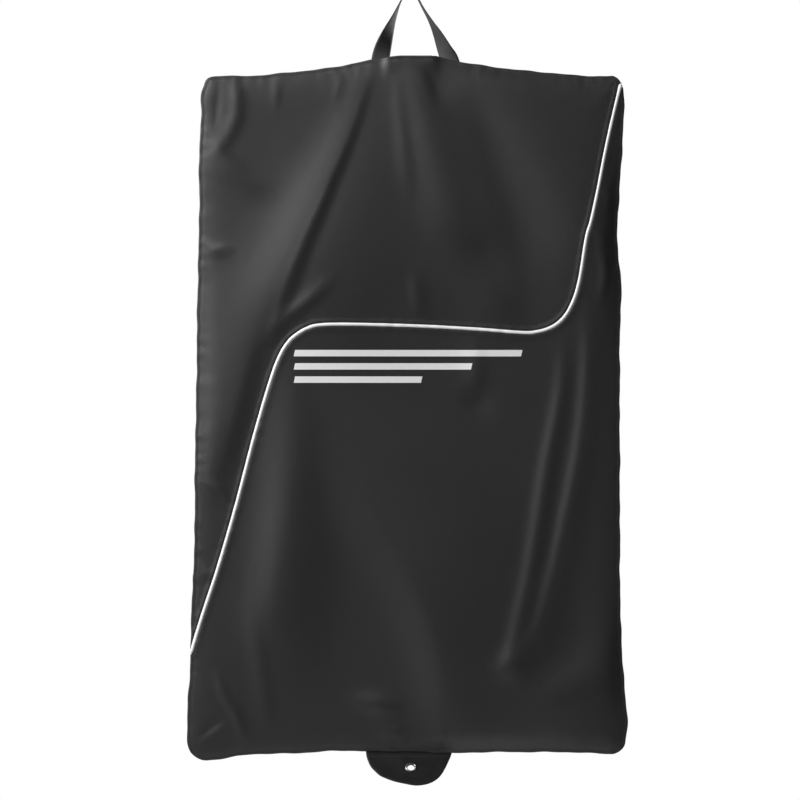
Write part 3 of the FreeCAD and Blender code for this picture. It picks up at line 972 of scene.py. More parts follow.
@dataclass(frozen=True)
class Ridge:
    """A fold of the cloth along a line, or a groove where the height is below zero.

    Points are rows of x, z and height, from the top down. Left and right say how far the fold
    spreads on each side as the front is seen, at its start and at its end.
    """

    points: tuple[tuple[float, float, float], ...]
    left: tuple[float, float]
    right: tuple[float, float]

    def height(self, where: np.ndarray) -> np.ndarray:
        """The height that the fold adds.

        Args:
            where: Rows of x and z.

        Returns:
            One height for each row.
        """
        line = smooth_path(self.points, 12)
        found = np.zeros(len(where))
        most = FADED * max(self.left + self.right)
        low, high = line[:, :2].min(axis=0) - most, line[:, :2].max(axis=0) + most
        near = np.flatnonzero(((where > low) & (where < high)).all(axis=1))
        spot = where[near]
        best = np.zeros(len(near))
        sign = 1.0 if line[:, 2].sum() >= 0 else -1.0
        run = run_along(line[:, :2])
        for i in range(len(line) - 1):
            a, way = line[i, :2], line[i + 1, :2] - line[i, :2]
            size = math.hypot(*way)
            share = np.clip((spot - a) @ way / size**2, 0, 1)
            off = spot - a - share[:, None] * way
            gap = np.hypot(off[:, 0], off[:, 1])
            side = (way[0] * off[:, 1] - way[1] * off[:, 0]) / size / np.maximum(gap, 1e-6)
            at = (run[i] + share * size) / run[-1]
            left = self.left[0] + (self.left[1] - self.left[0]) * at
            right = self.right[0] + (self.right[1] - self.right[0]) * at
            reach = 0.5 * ((1 - side) * left + (1 + side) * right)
            rise = (line[i, 2] + (line[i + 1, 2] - line[i, 2]) * share) * np.exp(-(gap / reach) ** 2)
            best = np.maximum(best, sign * rise)
        found[near] = sign * best
        return found


@dataclass(frozen=True)
class Mound:
    """A round bulge of the cloth, or a dimple where the height is below zero."""

    x: float
    z: float
    wide: float
    tall: float
    rise: float
    turn: float = 0.0

    def height(self, where: np.ndarray) -> np.ndarray:
        """The height that the mound adds.

        Args:
            where: Rows of x and z.

        Returns:
            One height for each row.
        """
        c, s = math.cos(math.radians(self.turn)), math.sin(math.radians(self.turn))
        off = where - (self.x, self.z)
        across, up = (c * off[:, 0] + s * off[:, 1]) / self.wide, (c * off[:, 1] - s * off[:, 0]) / self.tall
        return self.rise * np.exp(-across**2 - up**2)


def bell(off: np.ndarray, shape: tuple[float, float]) -> np.ndarray:
    """A rounded rise that fades to both sides.

    Args:
        off: How far each point is from the crest.
        shape: The crest's height, and the distance at which about a third of it is left.

    Returns:
        One height for each point.
    """
    return shape[0] * np.exp(-(off / shape[1]) ** 2)


@dataclass(frozen=True)
class Pattern:
    """The outline that the front and back share, and the line of the piping across the front."""

    outline: tuple[tuple[float, float], ...] = (
        (-29, -93.5), (-15, -92), (29, -92), (43, -94), (68, -100), (111, -106), (153, -111.5), (214,
        -117), (268, -120.5), (285, -120.5), (296, -132), (299.5, -151), (298, -190), (292, -294), (289,
        -345), (294, -395), (295, -427), (293, -500), (293, -700), (293.5, -854), (295.5, -910), (298.5,
        -964), (301, -995), (304, -1024), (302, -1048), (298, -1061), (286, -1069.5), (268, -1069.5),
        (181, -1067.5), (111, -1068), (56, -1069), (0, -1067.5), (-63, -1066.5), (-99, -1066), (-160,
        -1069), (-227, -1071.5), (-274, -1078), (-292, -1079), (-306, -1072), (-312, -1062), (-314,
        -1044), (-313, -1003), (-310, -950), (-308.5, -900), (-306.5, -829), (-304, -798), (-302.5, -630),
        (-301, -574), (-299.5, -434), (-297, -322), (-297, -238), (-294.5, -178), (-294.5, -151), (-291,
        -136), (-278.5, -120.5), (-223, -119.5), (-181, -116), (-138, -111), (-99, -106), (-55, -97))
    piping: tuple[tuple[float, float], ...] = (
        (296.5, -127), (293, -135), (281, -184), (271, -230), (261, -281), (252, -322), (245, -347), (237,
        -398), (230, -427), (219, -451), (207, -465), (193, -473.5), (177, -478), (157, -479.5), (97,
        -475), (13, -470.5), (-83, -468), (-128, -469), (-146, -474), (-159, -481.5), (-171, -492), (-183,
        -511), (-196, -545), (-219, -623), (-245, -722), (-270, -808), (-293, -878), (-309, -931))
    smooth: int = 8
    step: float = 4.0
    seam_step: float = 2.5
    slot_half: float = 33.0
    gap: float = 0.35

    def loop(self) -> np.ndarray:
        """The outline as an even loop of points, counter-clockwise as the front is seen.

        Returns:
            Rows of x and z, the first not repeated.
        """
        rows = np.array(self.outline, float)[::-1]
        over = 2 * self.smooth
        dense = smooth_path(np.vstack([rows[-2:], rows, rows[:2]]), self.smooth)[over:-over]
        line = even_steps(closed(dense), self.step)[:-1]
        run = np.arange(len(line)) * self.step
        wobble = 0.35 * np.sin(run / 9.7 + 1.0) + 0.3 * np.sin(run / 17.3) + 0.25 * np.sin(run / 5.3 + 2.0)
        return line - wobble[:, None] * leftward(line, looped=True)

    def seam(self) -> np.ndarray:
        """The piping's line as even points from the top right to the left edge."""
        return even_steps(smooth_path(self.piping, self.smooth), self.seam_step)


@dataclass
class Drape:
    """How far the cloth stands off the bag's middle plane, from its pillow, folds, hems and puckers.

    Lip is the radius of the rolled rim, rise is how far in the pillow takes to reach base, and a stitch
    is how far its line is from the edge. Each groove, gather, hump and mouth holds its height and its
    reach from its line; a hump also holds how far out its crest is.
    """

    pattern: Pattern
    features: tuple[Ridge | Mound, ...]
    base: float = 6.6
    lip: float = 1.5
    rise: float = 18.0
    fold_in: float = 15.0
    edge_stitch: float = 4.2
    edge_groove: tuple[float, float] = (0.45, 1.1)
    edge_gather: tuple[float, float] = (0.32, 11.0)
    mouth: tuple[float, float] = (4.4, 16.0)
    mouth_below: float = -300.0
    seam_stitch: float = 7.0
    seam_groove: tuple[float, float] = (0.6, 0.9)
    seam_gather: tuple[float, float] = (0.28, 10.0)
    seam_turn: tuple[float, float] = (2.6, 2.4)
    seam_gap: float = 1.1
    yoke_hump: tuple[float, float, float] = (1.0, 5.0, 3.2)
    body_hump: float = 0.7
    piped: bool = True
    loop: np.ndarray = field(init=False)
    seam: np.ndarray = field(init=False)

    def __post_init__(self) -> None:
        """Works out the outline and the piping's line once."""
        self.loop = self.pattern.loop()
        self.seam = self.pattern.seam()

    def pucker(self, run: np.ndarray, phase: float) -> np.ndarray:
        """Small gathers along a sewn line.

        Args:
            run: The run along the line.
            phase: Where the gathers start.

        Returns:
            A number from about -1 to 1 for each point.
        """
        fine = np.sin(run / 2.9 + phase + 1.7 * np.sin(run / 41.0))
        return fine * (0.55 + 0.45 * np.sin(run / 23.0 + phase)) + 0.5 * np.sin(run / 6.1 + 2 * phase)

    def height(self, where: np.ndarray) -> np.ndarray:
        """The cloth's distance from the middle plane.

        Args:
            where: Rows of x and z.

        Returns:
            One distance for each row.
        """
        edge, run, _ = nearest_on(where, closed(self.loop))
        rolled = np.clip(edge / self.lip, 0, 1)
        height = self.lip * np.sqrt(1 - (1 - rolled) ** 2)
        height += (self.base - self.lip) * (1 - np.exp(-(edge / self.rise) ** 1.25))
        height -= bell(edge - self.edge_stitch, self.edge_groove)
        height += self.pucker(run, 0.0) * bell(edge, self.edge_gather) * smooth_step(edge / 3.0)
        folds = sum(feature.height(where) for feature in self.features)
        height += folds * (1 - bell(edge, (1.0, self.fold_in)))
        slot = smooth_step((self.pattern.slot_half + 9 - np.abs(where[:, 0])) / 12.0)
        height += slot * (where[:, 1] > self.mouth_below) * bell(edge, self.mouth)
        if self.piped:
            height += self.sewn(where) * smooth_step(edge / 6.0)
        return np.maximum(height, np.minimum(edge * 0.35, 0.9)) + self.pattern.gap

    def sewn(self, where: np.ndarray) -> np.ndarray:
        """The change of height near the piping: turned-in edges, a topstitched groove and gathers.

        Args:
            where: Rows of x and z.

        Returns:
            One change for each row.
        """
        gap, run, side = nearest_on(where, self.seam)
        above = smooth_step(0.5 - 2.0 * side)
        deep, radius = self.seam_turn
        turned = -deep * (1 - np.sqrt(1 - (1 - np.clip((gap - self.seam_gap) / radius, 0, 1)) ** 2))
        high, crest, reach = self.yoke_hump
        hump = bell(gap - crest, (1.0, reach)) * (self.body_hump + (high - self.body_hump) * above)
        groove = -above * bell(gap - self.seam_stitch, self.seam_groove)
        return turned + hump + groove + self.pucker(run, 1.3) * bell(gap, self.seam_gather)

    def surface(self, where: np.ndarray, facing: Facing, above: float = 0.0) -> np.ndarray:
        """Points on the cloth.

        Args:
            where: Rows of x and z.
            facing: The face of the bag that the cloth is on.
            above: How far the points stand off the cloth.

        Returns:
            Rows of x, y and z.
        """
        return np.stack([where[:, 0], facing.value * (self.height(where) + above), where[:, 1]], axis=1)


@dataclass
class Panel:
    """A cut piece of cloth, turned in along its edges."""

    name: str
    edge: np.ndarray
    drape: Drape
    facing: Facing
    cloth: float = 0.6
    rings: tuple[float, ...] = (0.35, 0.9, 1.6, 2.6, 4.2, 6.2)
    ring_kept: float = 0.93
    lattice_clear: float = 0.55
    row_pitch: float = 0.866
    worn: float = 2.2

    def spots(self) -> np.ndarray:
        """The flat points inside the cut edge: rings that follow it, then a triangular lattice.

        Returns:
            Rows of x and z.
        """
        edge, border = self.edge, closed(self.edge)
        kept = []
        for ring in self.rings:
            points = edge + leftward(edge, looped=True) * ring
            clear = nearest_on(points, border)[0] > ring * self.ring_kept
            kept.append(points[clear & inside(points, edge)])
        step = self.drape.pattern.step
        low, high = edge.min(axis=0), edge.max(axis=0)
        lattice = np.array([(x, z) for i, z in enumerate(np.arange(low[1], high[1], step * self.row_pitch))
                            for x in np.arange(low[0] + (i % 2) * step / 2, high[0], step)])
        clear = nearest_on(lattice, border)[0] > self.rings[-1] + step * self.lattice_clear
        return np.vstack(kept + [lattice[clear & inside(lattice, edge)]])

    def build(self) -> bpy.types.Object:
        """The panel as a closed shell of cloth.

        Returns:
            The piece, its UV map in metres and its wear attribute set.
        """
        where, faces = triangulated(np.vstack([self.edge, self.spots()]), (len(self.edge),), Fill.INSIDE)
        a, b, c = (where[[face[i] for face in faces]] for i in range(3))
        turn = (b - a)[:, 0] * (c - a)[:, 1] - (b - a)[:, 1] * (c - a)[:, 0]
        front = self.facing is Facing.FRONT
        faces = [face if (area > 0) == front else face[::-1] for face, area in zip(faces, turn)]
        piece = new_object(self.name, self.drape.surface(where, self.facing), faces, where * MM)
        rim = nearest_on(where, closed(self.edge))[0]
        return thickened(set_wear(piece, bell(rim, (1.0, self.worn))), self.cloth)


def arc_between(loop: np.ndarray, start: int, end: int) -> np.ndarray:
    """The rows of a closed loop from one index on to another, both included."""
    return loop[start:end + 1] if start <= end else np.vstack([loop[start:], loop[:end + 1]])


def nearest_row(rows: np.ndarray, point: tuple[float, float]) -> int:
    """The index of the row nearest a point."""
    return int(np.argmin(np.hypot(*(rows - point).T)))


# ---- Front ----

FRONT_FEATURES: tuple[Ridge | Mound, ...] = (
    Ridge(((-16, -104, 0), (-48, -200, 3), (-86, -300, 9), (-124, -390, 14), (-156, -460, 11),
          (-190, -530, 3), (-205, -580, 0)), (50, 116), (80, 160)),
    Ridge(((-56, -110, 0), (-80, -185, 3), (-106, -250, 4.6), (-152, -350, 5.5), (-184, -430, 5),
          (-202, -486, 0)), (22, 60), (7, 9)),
    Ridge(((-106, -268, 0), (-124, -306, 1.2), (-152, -374, 1.6), (-176, -440, 1.2), (-190, -468, 0)),
          (6, 8), (7, 9)),
    Ridge(((-104, -400, 0), (-140, -432, 2.5), (-176, -462, 3.5), (-204, -496, 0)), (12, 12), (9, 9)),
    Ridge(((4, -98, 1), (14, -150, 4), (38, -230, 7.5), (62, -310, 9), (72, -346, 4), (78, -372, 0)),
          (22, 52), (30, 56)),
    Ridge(((-22, -110, 0), (-16, -170, 1), (-8, -240, 1.3), (-2, -300, 0)), (9, 12), (8, 10)),
    Ridge(((44, -368, 0), (84, -400, 3), (112, -430, 4), (128, -458, 2)), (30, 34), (24, 26)),
    Ridge(((24, -106, 0), (33, -130, -3), (41, -162, 0)), (8, 8), (24, 26)),
    Ridge(((96, -104, 1), (134, -160, 4), (192, -250, 9), (238, -336, 12), (246, -420, 5), (240, -480, 0)),
          (26, 84), (60, 90)),
    Ridge(((62, -135, 0), (80, -200, 1.4), (110, -300, 2), (138, -400, 1.6), (142, -455, 0)), (20, 30),
          (18, 24)),
    Ridge(((-250, -112, 1), (-244, -150, 2.4), (-246, -180, 2.4), (-262, -212, 1.5), (-290, -240, 0)),
          (9, 12), (9, 11)),
    Ridge(((-270, -125, 0), (-272, -160, -1.5), (-276, -200, 0)), (6, 6), (6, 6)),
    Ridge(((-288, -196, 0), (-262, -240, 3), (-224, -270, 2), (-200, -272, 0)), (16, 20), (14, 16)),
    Ridge(((-298, -352, 0), (-275, -362, 2), (-250, -360, 0)), (12, 12), (6, 6)),
    Ridge(((-188, -108, 0), (-188, -140, 0.9), (-190, -175, 0)), (6, 8), (5, 6)),
    Ridge(((-104, -106, 0), (-100, -130, 0.8), (-108, -160, 0)), (6, 7), (5, 6)),
    Ridge(((-206, -430, 0), (-220, -480, 3), (-234, -530, 6), (-248, -590, 7), (-266, -650, 5),
          (-288, -712, 0)), (60, 34), (24, 16)),
    Ridge(((-258, -716, 0), (-268, -700, 2), (-290, -690, 0)), (8, 8), (6, 6)),
    Ridge(((-300, -805, 0), (-288, -815, 2), (-276, -818, 0)), (8, 8), (5, 5)),
    Ridge(((-176, -530, 0), (-168, -610, 7), (-168, -700, 13), (-176, -798, 15), (-186, -882, 12),
          (-188, -975, 0)), (36, 46), (26, 70)),
    Ridge(((-150, -560, 0), (-106, -640, 5), (-66, -705, 10), (0, -815, 16), (34, -895, 17), (56, -985, 13),
          (64, -1060, 1)), (50, 36), (110, 150)),
    Ridge(((212, -490, 0), (210, -560, 3), (190, -672, 4), (168, -812, 4.5), (140, -935, 4),
          (130, -965, 0)), (10, 14), (12, 16)),
    Ridge(((246, -440, 0), (247, -520, 3.2), (239, -623, 4), (214, -756, 4.6), (184, -876, 4.6),
          (156, -938, 3), (148, -966, 0)), (10, 14), (14, 28)),
    Mound(136, -946, 30, 22, 3, 30),
    Ridge(((296, -830, 0), (286, -900, 4), (262, -960, 8), (212, -990, 8), (160, -1006, 0)), (44, 40),
          (34, 46)),
    Ridge(((-276, -955, 0), (-262, -990, 3), (-246, -1015, 3), (-232, -1060, 0)), (6, 6), (9, 9)),
    Ridge(((-302, -1050, 0), (-280, -1032, -2), (-258, -1018, 0)), (6, 6), (6, 6)),
    Ridge(((-230, -868, 0), (-214, -930, 2.4), (-206, -990, 2.4), (-200, -1040, 0)), (12, 14), (12, 12)),
    Mound(-48, -1000, 30, 16, 5, -12),
    Mound(-26, -1040, 18, 12, 2.4),
    Ridge(((42, -1024, 0), (44, -1050, 1.5), (44, -1066, 0)), (5, 5), (5, 5)),
    Ridge(((4, -395, 0), (8, -430, 2), (14, -464, 0)), (10, 10), (12, 12)),
    Ridge(((86, -482, 0), (92, -530, 2), (84, -570, 0)), (16, 16), (12, 12)),
    Mound(96, -578, 22, 20, -2.4, -40),
    Ridge(((252, -335, 0), (270, -352, 2), (288, -352, 0)), (6, 6), (6, 6)),
    Ridge(((262, -350, 0), (272, -392, 3), (264, -446, 0)), (7, 7), (6, 6)),
    Ridge(((284, -250, 0), (276, -290, 2), (280, -330, 0)), (6, 6), (6, 6)),
)


@dataclass
class Front:
    """The yoke and the body panel, the piping between them and the print."""

    drape: Drape
    turned: float = 1.1
    pipe_radius: float = 2.45
    core_radius: float = 1.5
    pipe_stand: float = 1.4
    pipe_sinks: float = 3.0
    pipe_flat: float = 0.3
    pipe_sides: int = 14
    stripes: tuple[tuple[float, float, float], ...] = (
        (-163, 155, -508.5), (-163, 85, -527), (-163, 15, -545.5))
    stripe_tall: float = 9.0
    stripe_slant: float = 0.22
    print_thick: float = 0.12
    print_stand: float = 0.22

    def edges(self) -> tuple[np.ndarray, np.ndarray]:
        """The cut edges of the yoke and of the body panel.

        Returns:
            Two counter-clockwise loops of x and z.
        """
        loop, seam = self.drape.loop, self.drape.seam
        right, left = nearest_row(loop, seam[0]), nearest_row(loop, seam[-1])
        across = leftward(seam) * self.turned
        body, yoke = seam + across, (seam - across)[::-1]
        border = closed(loop)
        body, yoke = (line[inside(line, loop) & (nearest_on(line, border)[0] > 1.6)] for line in (body, yoke))
        over, under = arc_between(loop, right, left), arc_between(loop, left, right)
        return np.vstack([over, yoke]), np.vstack([under, body])

    def build(self) -> None:
        """Makes the two panels, the piping, its cord and the printed bars."""
        yoke, body = self.edges()
        for name, edge, flat, area in (("front_yoke", yoke, (0.62, 0.84), 0.232),
                                       ("front_body", body, (0.62, 0.95), 0.345)):
            piece = Panel(name, edge, self.drape, Facing.FRONT).build()
            place(piece, BLACK_POLYESTER, FOLD, split_nodes(name))
        self.make_piping()
        self.print_bars()

    def make_piping(self) -> None:
        """Makes the piping and its cord, which flatten and sink into the side seams at their ends."""
        seam = self.drape.seam[inside(self.drape.seam, self.drape.loop)]
        full = smooth_step(nearest_on(seam, closed(self.drape.loop))[0] / self.pipe_sinks)
        line = self.drape.surface(seam, Facing.FRONT)
        line[:, 1] -= self.pipe_stand * full
        size = self.pipe_flat + (1 - self.pipe_flat) * full
        run = np.arange(len(line)) * self.drape.pattern.seam_step
        wave = 1 + 0.02 * np.sin(run / 4.1) + 0.015 * np.sin(run / 9.3 + 1)
        for name, radius, finish, slot, rows in (
                ("piping_cover", self.pipe_radius * size * wave, WHITE_PIPING, "white_piping", slice(None)),
                ("piping_core", self.core_radius * size, PIPING_CORD, "piping_cord", slice(1, -1))):
            points, faces, flat = tube(line[rows], radius[rows], self.pipe_sides)
            place(outward(new_object(name, points, faces, flat)), finish, FOLD, split_nodes(name))

    def print_bars(self) -> None:
        """Makes the printed bars as thin films that lie on the cloth."""
        points, faces = [], []
        for low, high, level in self.stripes:
            across = np.linspace(low, high, int((high - low) / self.drape.pattern.seam_step) + 1)
            across = np.concatenate([[low], [low + 0.1], across[1:-1], [high - 0.1], [high]])
            up = np.array((-0.5, -0.49, -0.25, 0.0, 0.25, 0.49, 0.5)) * self.stripe_tall
            grid = np.array([(x + self.stripe_slant * z, level + z) for z in up for x in across])
            faces += grid_faces(len(up), len(across), len(points))
            points += self.drape.surface(grid, Facing.FRONT, self.print_stand).tolist()
        flat = np.array(points)[:, [0, 2]] * MM
        film = thickened(new_object("printed_bars", np.array(points), faces, flat), self.print_thick)
        place(film, WHITE_PRINT, Body.UPPER, ("chest_stripes",))


# ---- Back ----

BACK_FEATURES: tuple[Ridge | Mound, ...] = (
    Ridge(((60, -104, 1), (92, -190, 5), (128, -300, 7), (150, -420, 5), (158, -560, 0)), (24, 40),
          (16, 30)),
    Ridge(((-66, -104, 1), (-104, -200, 5), (-140, -330, 6), (-176, -460, 4), (-190, -600, 0)), (18, 36),
          (24, 44)),
    Ridge(((120, -112, 0), (170, -180, 3), (232, -260, 4), (286, -320, 0)), (14, 20), (12, 18)),
    Ridge(((-150, -112, 0), (-196, -190, 3), (-244, -290, 3), (-290, -352, 0)), (12, 18), (14, 20)),
    Ridge(((236, -420, 0), (224, -560, 4), (196, -720, 5), (172, -900, 3), (160, -1040, 0)), (26, 40),
          (20, 30)),
    Ridge(((-226, -520, 0), (-204, -660, 5), (-150, -800, 5), (-96, -930, 3), (-74, -1040, 0)), (30, 34),
          (22, 40)),
    Ridge(((60, -640, 0), (92, -760, 3), (104, -880, 4), (84, -1010, 0)), (18, 24), (14, 20)),
    Mound(-258, -930, 34, 60, 4, 10),
    Mound(250, -980, 40, 44, 4, -20),
    Mound(-90, -600, 46, 90, -2, 12),
    Ridge(((262, -1020, 0), (226, -1040, 2), (190, -1060, 0)), (6, 6), (8, 8)),
    Ridge(((-292, -700, 0), (-268, -716, 2.5), (-240, -712, 0)), (8, 8), (6, 6)),
)


@dataclass
class BackDrape(Drape):
    """The back's cloth, which lies flat beside the zip and has a doubled hem there."""

    opening: float = 7.0
    hem: float = 13.2
    hem_rise: float = 0.55
    hem_lift: float = 0.4
    hem_roll: float = 0.9
    hem_stitches: tuple[float, float] = (2.5, 9.5)
    hem_groove: tuple[float, float] = (0.28, 0.8)
    flat_to: tuple[float, float] = (58.0, 44.0)

    def height(self, where: np.ndarray) -> np.ndarray:
        """The cloth's distance from the middle plane.

        Args:
            where: Rows of x and z.

        Returns:
            One distance for each row.
        """
        draped = super().height(where)
        off = np.abs(where[:, 0]) - self.opening
        flat = self.base + self.hem_lift + self.hem_rise * smooth_step((self.hem - off) / 1.4)
        flat -= self.hem_roll * (1 - np.sqrt(1 - (1 - np.clip(off / self.hem_roll, 0, 1)) ** 2))
        for line in self.hem_stitches:
            flat -= bell(off - line, self.hem_groove)
        edge, _, _ = nearest_on(where, closed(self.loop))
        share = smooth_step((self.flat_to[0] - off) / self.flat_to[1]) * smooth_step((edge - 4.0) / 10.0)
        return draped + share * (flat - draped)


@dataclass
class Back:
    """The two back panels either side of the zip."""

    drape: BackDrape

    def edges(self) -> dict[Side, np.ndarray]:
        """The cut edges of the two panels.

        Returns:
            A counter-clockwise loop of x and z for each side.
        """
        loop, inner, step = self.drape.loop, self.drape.opening, self.drape.pattern.step
        found = {}
        for side in Side:
            kept = loop[side.value * loop[:, 0] > inner + 0.5]
            gaps = np.linalg.norm(np.diff(closed(kept), axis=0), axis=1)
            kept = np.roll(kept, -(int(np.flatnonzero(gaps > 4 * step)[0]) + 1), axis=0)
            ends = np.array([[side.value * inner, kept[-1, 1]], [side.value * inner, kept[0, 1]]])
            found[side] = np.vstack([kept, even_steps(ends, step)])
        return found

    def build(self) -> None:
        """Makes the two panels."""
        for side, edge in self.edges().items():
            name = f"back_panel_{side.name.lower()}"
            piece = Panel(name, edge, self.drape, Facing.BACK).build()
            place(piece, BLACK_POLYESTER, FOLD, split_nodes(name))


# ---- Edges: sewn bindings inside the rim and round the hanger slot ----


@dataclass
class Edges:
    """The seam allowances bound inside the rim, and the bound lips of the hanger slot.

    Lip outside and lip inside hold how far below the rim each line of a lip is, and how far it stands
    off the cloth, or behind it.
    """

    front: Drape
    back: Drape
    depth: tuple[float, float] = (1.6, 9.0)
    thick: float = 0.42
    lip_thick: float = 0.4
    lip_outside: tuple[tuple[float, float], ...] = ((2.6, 0.32), (1.6, 0.42), (0.5, 0.5))
    lip_inside: tuple[tuple[float, float], ...] = ((0.6, 1.3), (2.5, 1.25), (9.0, 1.2))
    lip_crest: float = 0.55
    lip_fold: float = 0.5
    lip_sinks: tuple[float, float] = (0.7, 5.0)

    def strip(self, name: str, line: np.ndarray) -> bpy.types.Object:
        """A flat bound strip just inside a stretch of the rim.

        Args:
            name: The piece's name.
            line: Rows of x and z along the rim, counter-clockwise.

        Returns:
            The piece.
        """
        low, high = self.depth
        section = ((low, -self.thick), (high - 0.3, -self.thick), (high, 0.0), (high - 0.3, self.thick),
                   (low, self.thick))
        points = np.array([[p[0] + n[0] * d, y, p[1] + n[1] * d] for p, n in zip(line, leftward(line))
                           for d, y in section])
        flat = np.array([[d * MM, r * MM] for r in run_along(line) for d, _ in section])
        return outward(new_object(name, points, sweep_faces(len(line), len(section)), flat))

    def lip(self, name: str, drape: Drape, facing: Facing) -> bpy.types.Object:
        """A binding folded over the top edge of one side of the hanger slot.

        Args:
            name: The piece's name.
            drape: The cloth that it binds.
            facing: The face of the bag that the cloth is on.

        Returns:
            The piece.
        """
        half, out = drape.pattern.slot_half, facing.value
        across = np.linspace(-half, half, 45)
        brow = sorted((x, z) for x, z in drape.pattern.outline if abs(x) < 70 and z > -101)
        top = np.interp(across, *zip(*brow))
        sunk, sinks = self.lip_sinks
        full = smooth_step((half - np.abs(across)) / sinks)
        rows = []
        for drop, stand in self.lip_outside:
            cloth = drape.height(np.stack([across, top - drop], axis=1))
            rows.append(np.stack([across, out * (cloth + stand - sunk * (1 - full)), top - drop], axis=1))
        crest = rows[-1].copy()
        crest[:, 1] -= out * self.lip_fold
        crest[:, 2] = top + self.lip_crest * full - self.lip_fold * (1 - full)
        rows.append(crest)
        under = self.lip_inside[1][0]
        for drop, stand in self.lip_inside:
            cloth = drape.height(np.stack([across, top - max(drop, under)], axis=1))
            rows.append(np.stack([across, out * (cloth - stand), top - drop], axis=1))
        faces = grid_faces(len(rows), len(across))
        if facing is Facing.BACK:
            faces = [face[::-1] for face in faces]
        flat = np.array([[r * 2.2 * MM, x * MM] for r in range(len(rows)) for x in across])
        return thickened(new_object(name, np.vstack(rows), faces, flat), self.lip_thick)

    def build(self) -> None:
        """Makes the strips of the rim and the two lips."""
        loop, half = self.front.loop, self.front.pattern.slot_half
        slot_right, slot_left = nearest_row(loop, (half + 4, -93)), nearest_row(loop, (-half - 4, -94))
        top_right, top_left = nearest_row(loop, (291, -126)), nearest_row(loop, (-285, -128))
        low_right, low_left = nearest_row(loop, (294, -1065)), nearest_row(loop, (-300, -1077))
        for word, start, end, where, nodes in (
                ("top_right", top_right, slot_right, Body.UPPER, ("top_seam_right",)),
                ("top_left", slot_left, top_left, Body.UPPER, ("top_seam_left",)),
                ("right", low_right + 2, top_right - 2, FOLD, split_nodes("side_seam_right")),
                ("left", top_left + 2, low_left - 2, FOLD, split_nodes("side_seam_left")),
                ("bottom", low_left, low_right, Body.LOWER, ("bottom_seam",))):
            strip = self.strip(f"rim_binding_{word}", arc_between(loop, start, end))
            place(strip, SEAM_BINDING, where, nodes)
        for drape, facing in ((self.front, Facing.FRONT), (self.back, Facing.BACK)):
            word = facing.name.lower()
            lip = self.lip(f"slot_lip_{word}", drape, facing)
            place(lip, SEAM_BINDING, Body.UPPER, (f"slot_binding_{word}",))


# ---- Handle ----


@dataclass
class Handle:
    """A webbing loop whose flat legs turn edge-on towards the crown.

    Centre holds rows of x, z and twist in degrees, from the end of the left leg inside the bag to the
    end of the right leg.
    """

    width: float = 25.0
    thick: float = 1.5
    step: float = 1.6
    twist_weight: float = 0.2
    centre: tuple[tuple[float, float, float], ...] = (
        (-46, -136, 0), (-45, -116, 0), (-43.2, -98, 0), (-38.8, -79, 24), (-31.2, -56.5, 54), (-23.3,
        -36.5, 76), (-15.6, -18, 89), (-11.2, -9.5, 90), (-8.2, -3.2, 90), (-3.4, 0.6, 90), (2.2, 0.4,
        90), (7.0, -4.6, 90), (10.6, -12.6, 89), (17.6, -26, 87), (26.6, -41.5, 80), (37.6, -62, 60),
        (47.6, -84, 34), (54.6, -98, 8), (59.5, -116, 0), (62, -136, 0))

    def build(self) -> None:
        """Makes the strap."""
        path = np.array([(x, 0.0, z, twist) for x, z, twist in self.centre])
        line = even_steps(smooth_path(path, 12) * (1, 1, 1, self.twist_weight), self.step)
        line, turn = line[:, :3], np.radians(line[:, 3] / self.twist_weight)[:, None]
        way, toward = ways(line), np.array((0.0, -1.0, 0.0))
        across = np.sin(turn) * toward - np.cos(turn) * np.cross(way, toward)
        face = np.cross(way, across)
        half, thin = self.width / 2, self.thick / 2
        cols = np.linspace(-1, 1, 13)
        edge = np.sqrt(np.clip(1 - np.clip((np.abs(cols) * half - half + thin) / thin, 0, 1) ** 2, 0, 1))
        section = [(c * half, e * thin) for c, e in zip(cols, edge)]
        section += [(c * half, -e * thin) for c, e in zip(cols[::-1], edge[::-1])][1:-1]
        points = np.vstack([p + a * u + f * v for p, a, f in zip(line, across, face) for u, v in section])
        flat = np.array([[u * MM, r * MM] for r in run_along(line) for u, _ in section])
        strap = outward(new_object("handle", points, sweep_faces(len(line), len(section)), flat))
        place(strap, BLACK_WEBBING, HANDLE_ROOT,
              ("handle_webbing", "handle_end_left", "handle_end_right"))


# ---- Zip ----


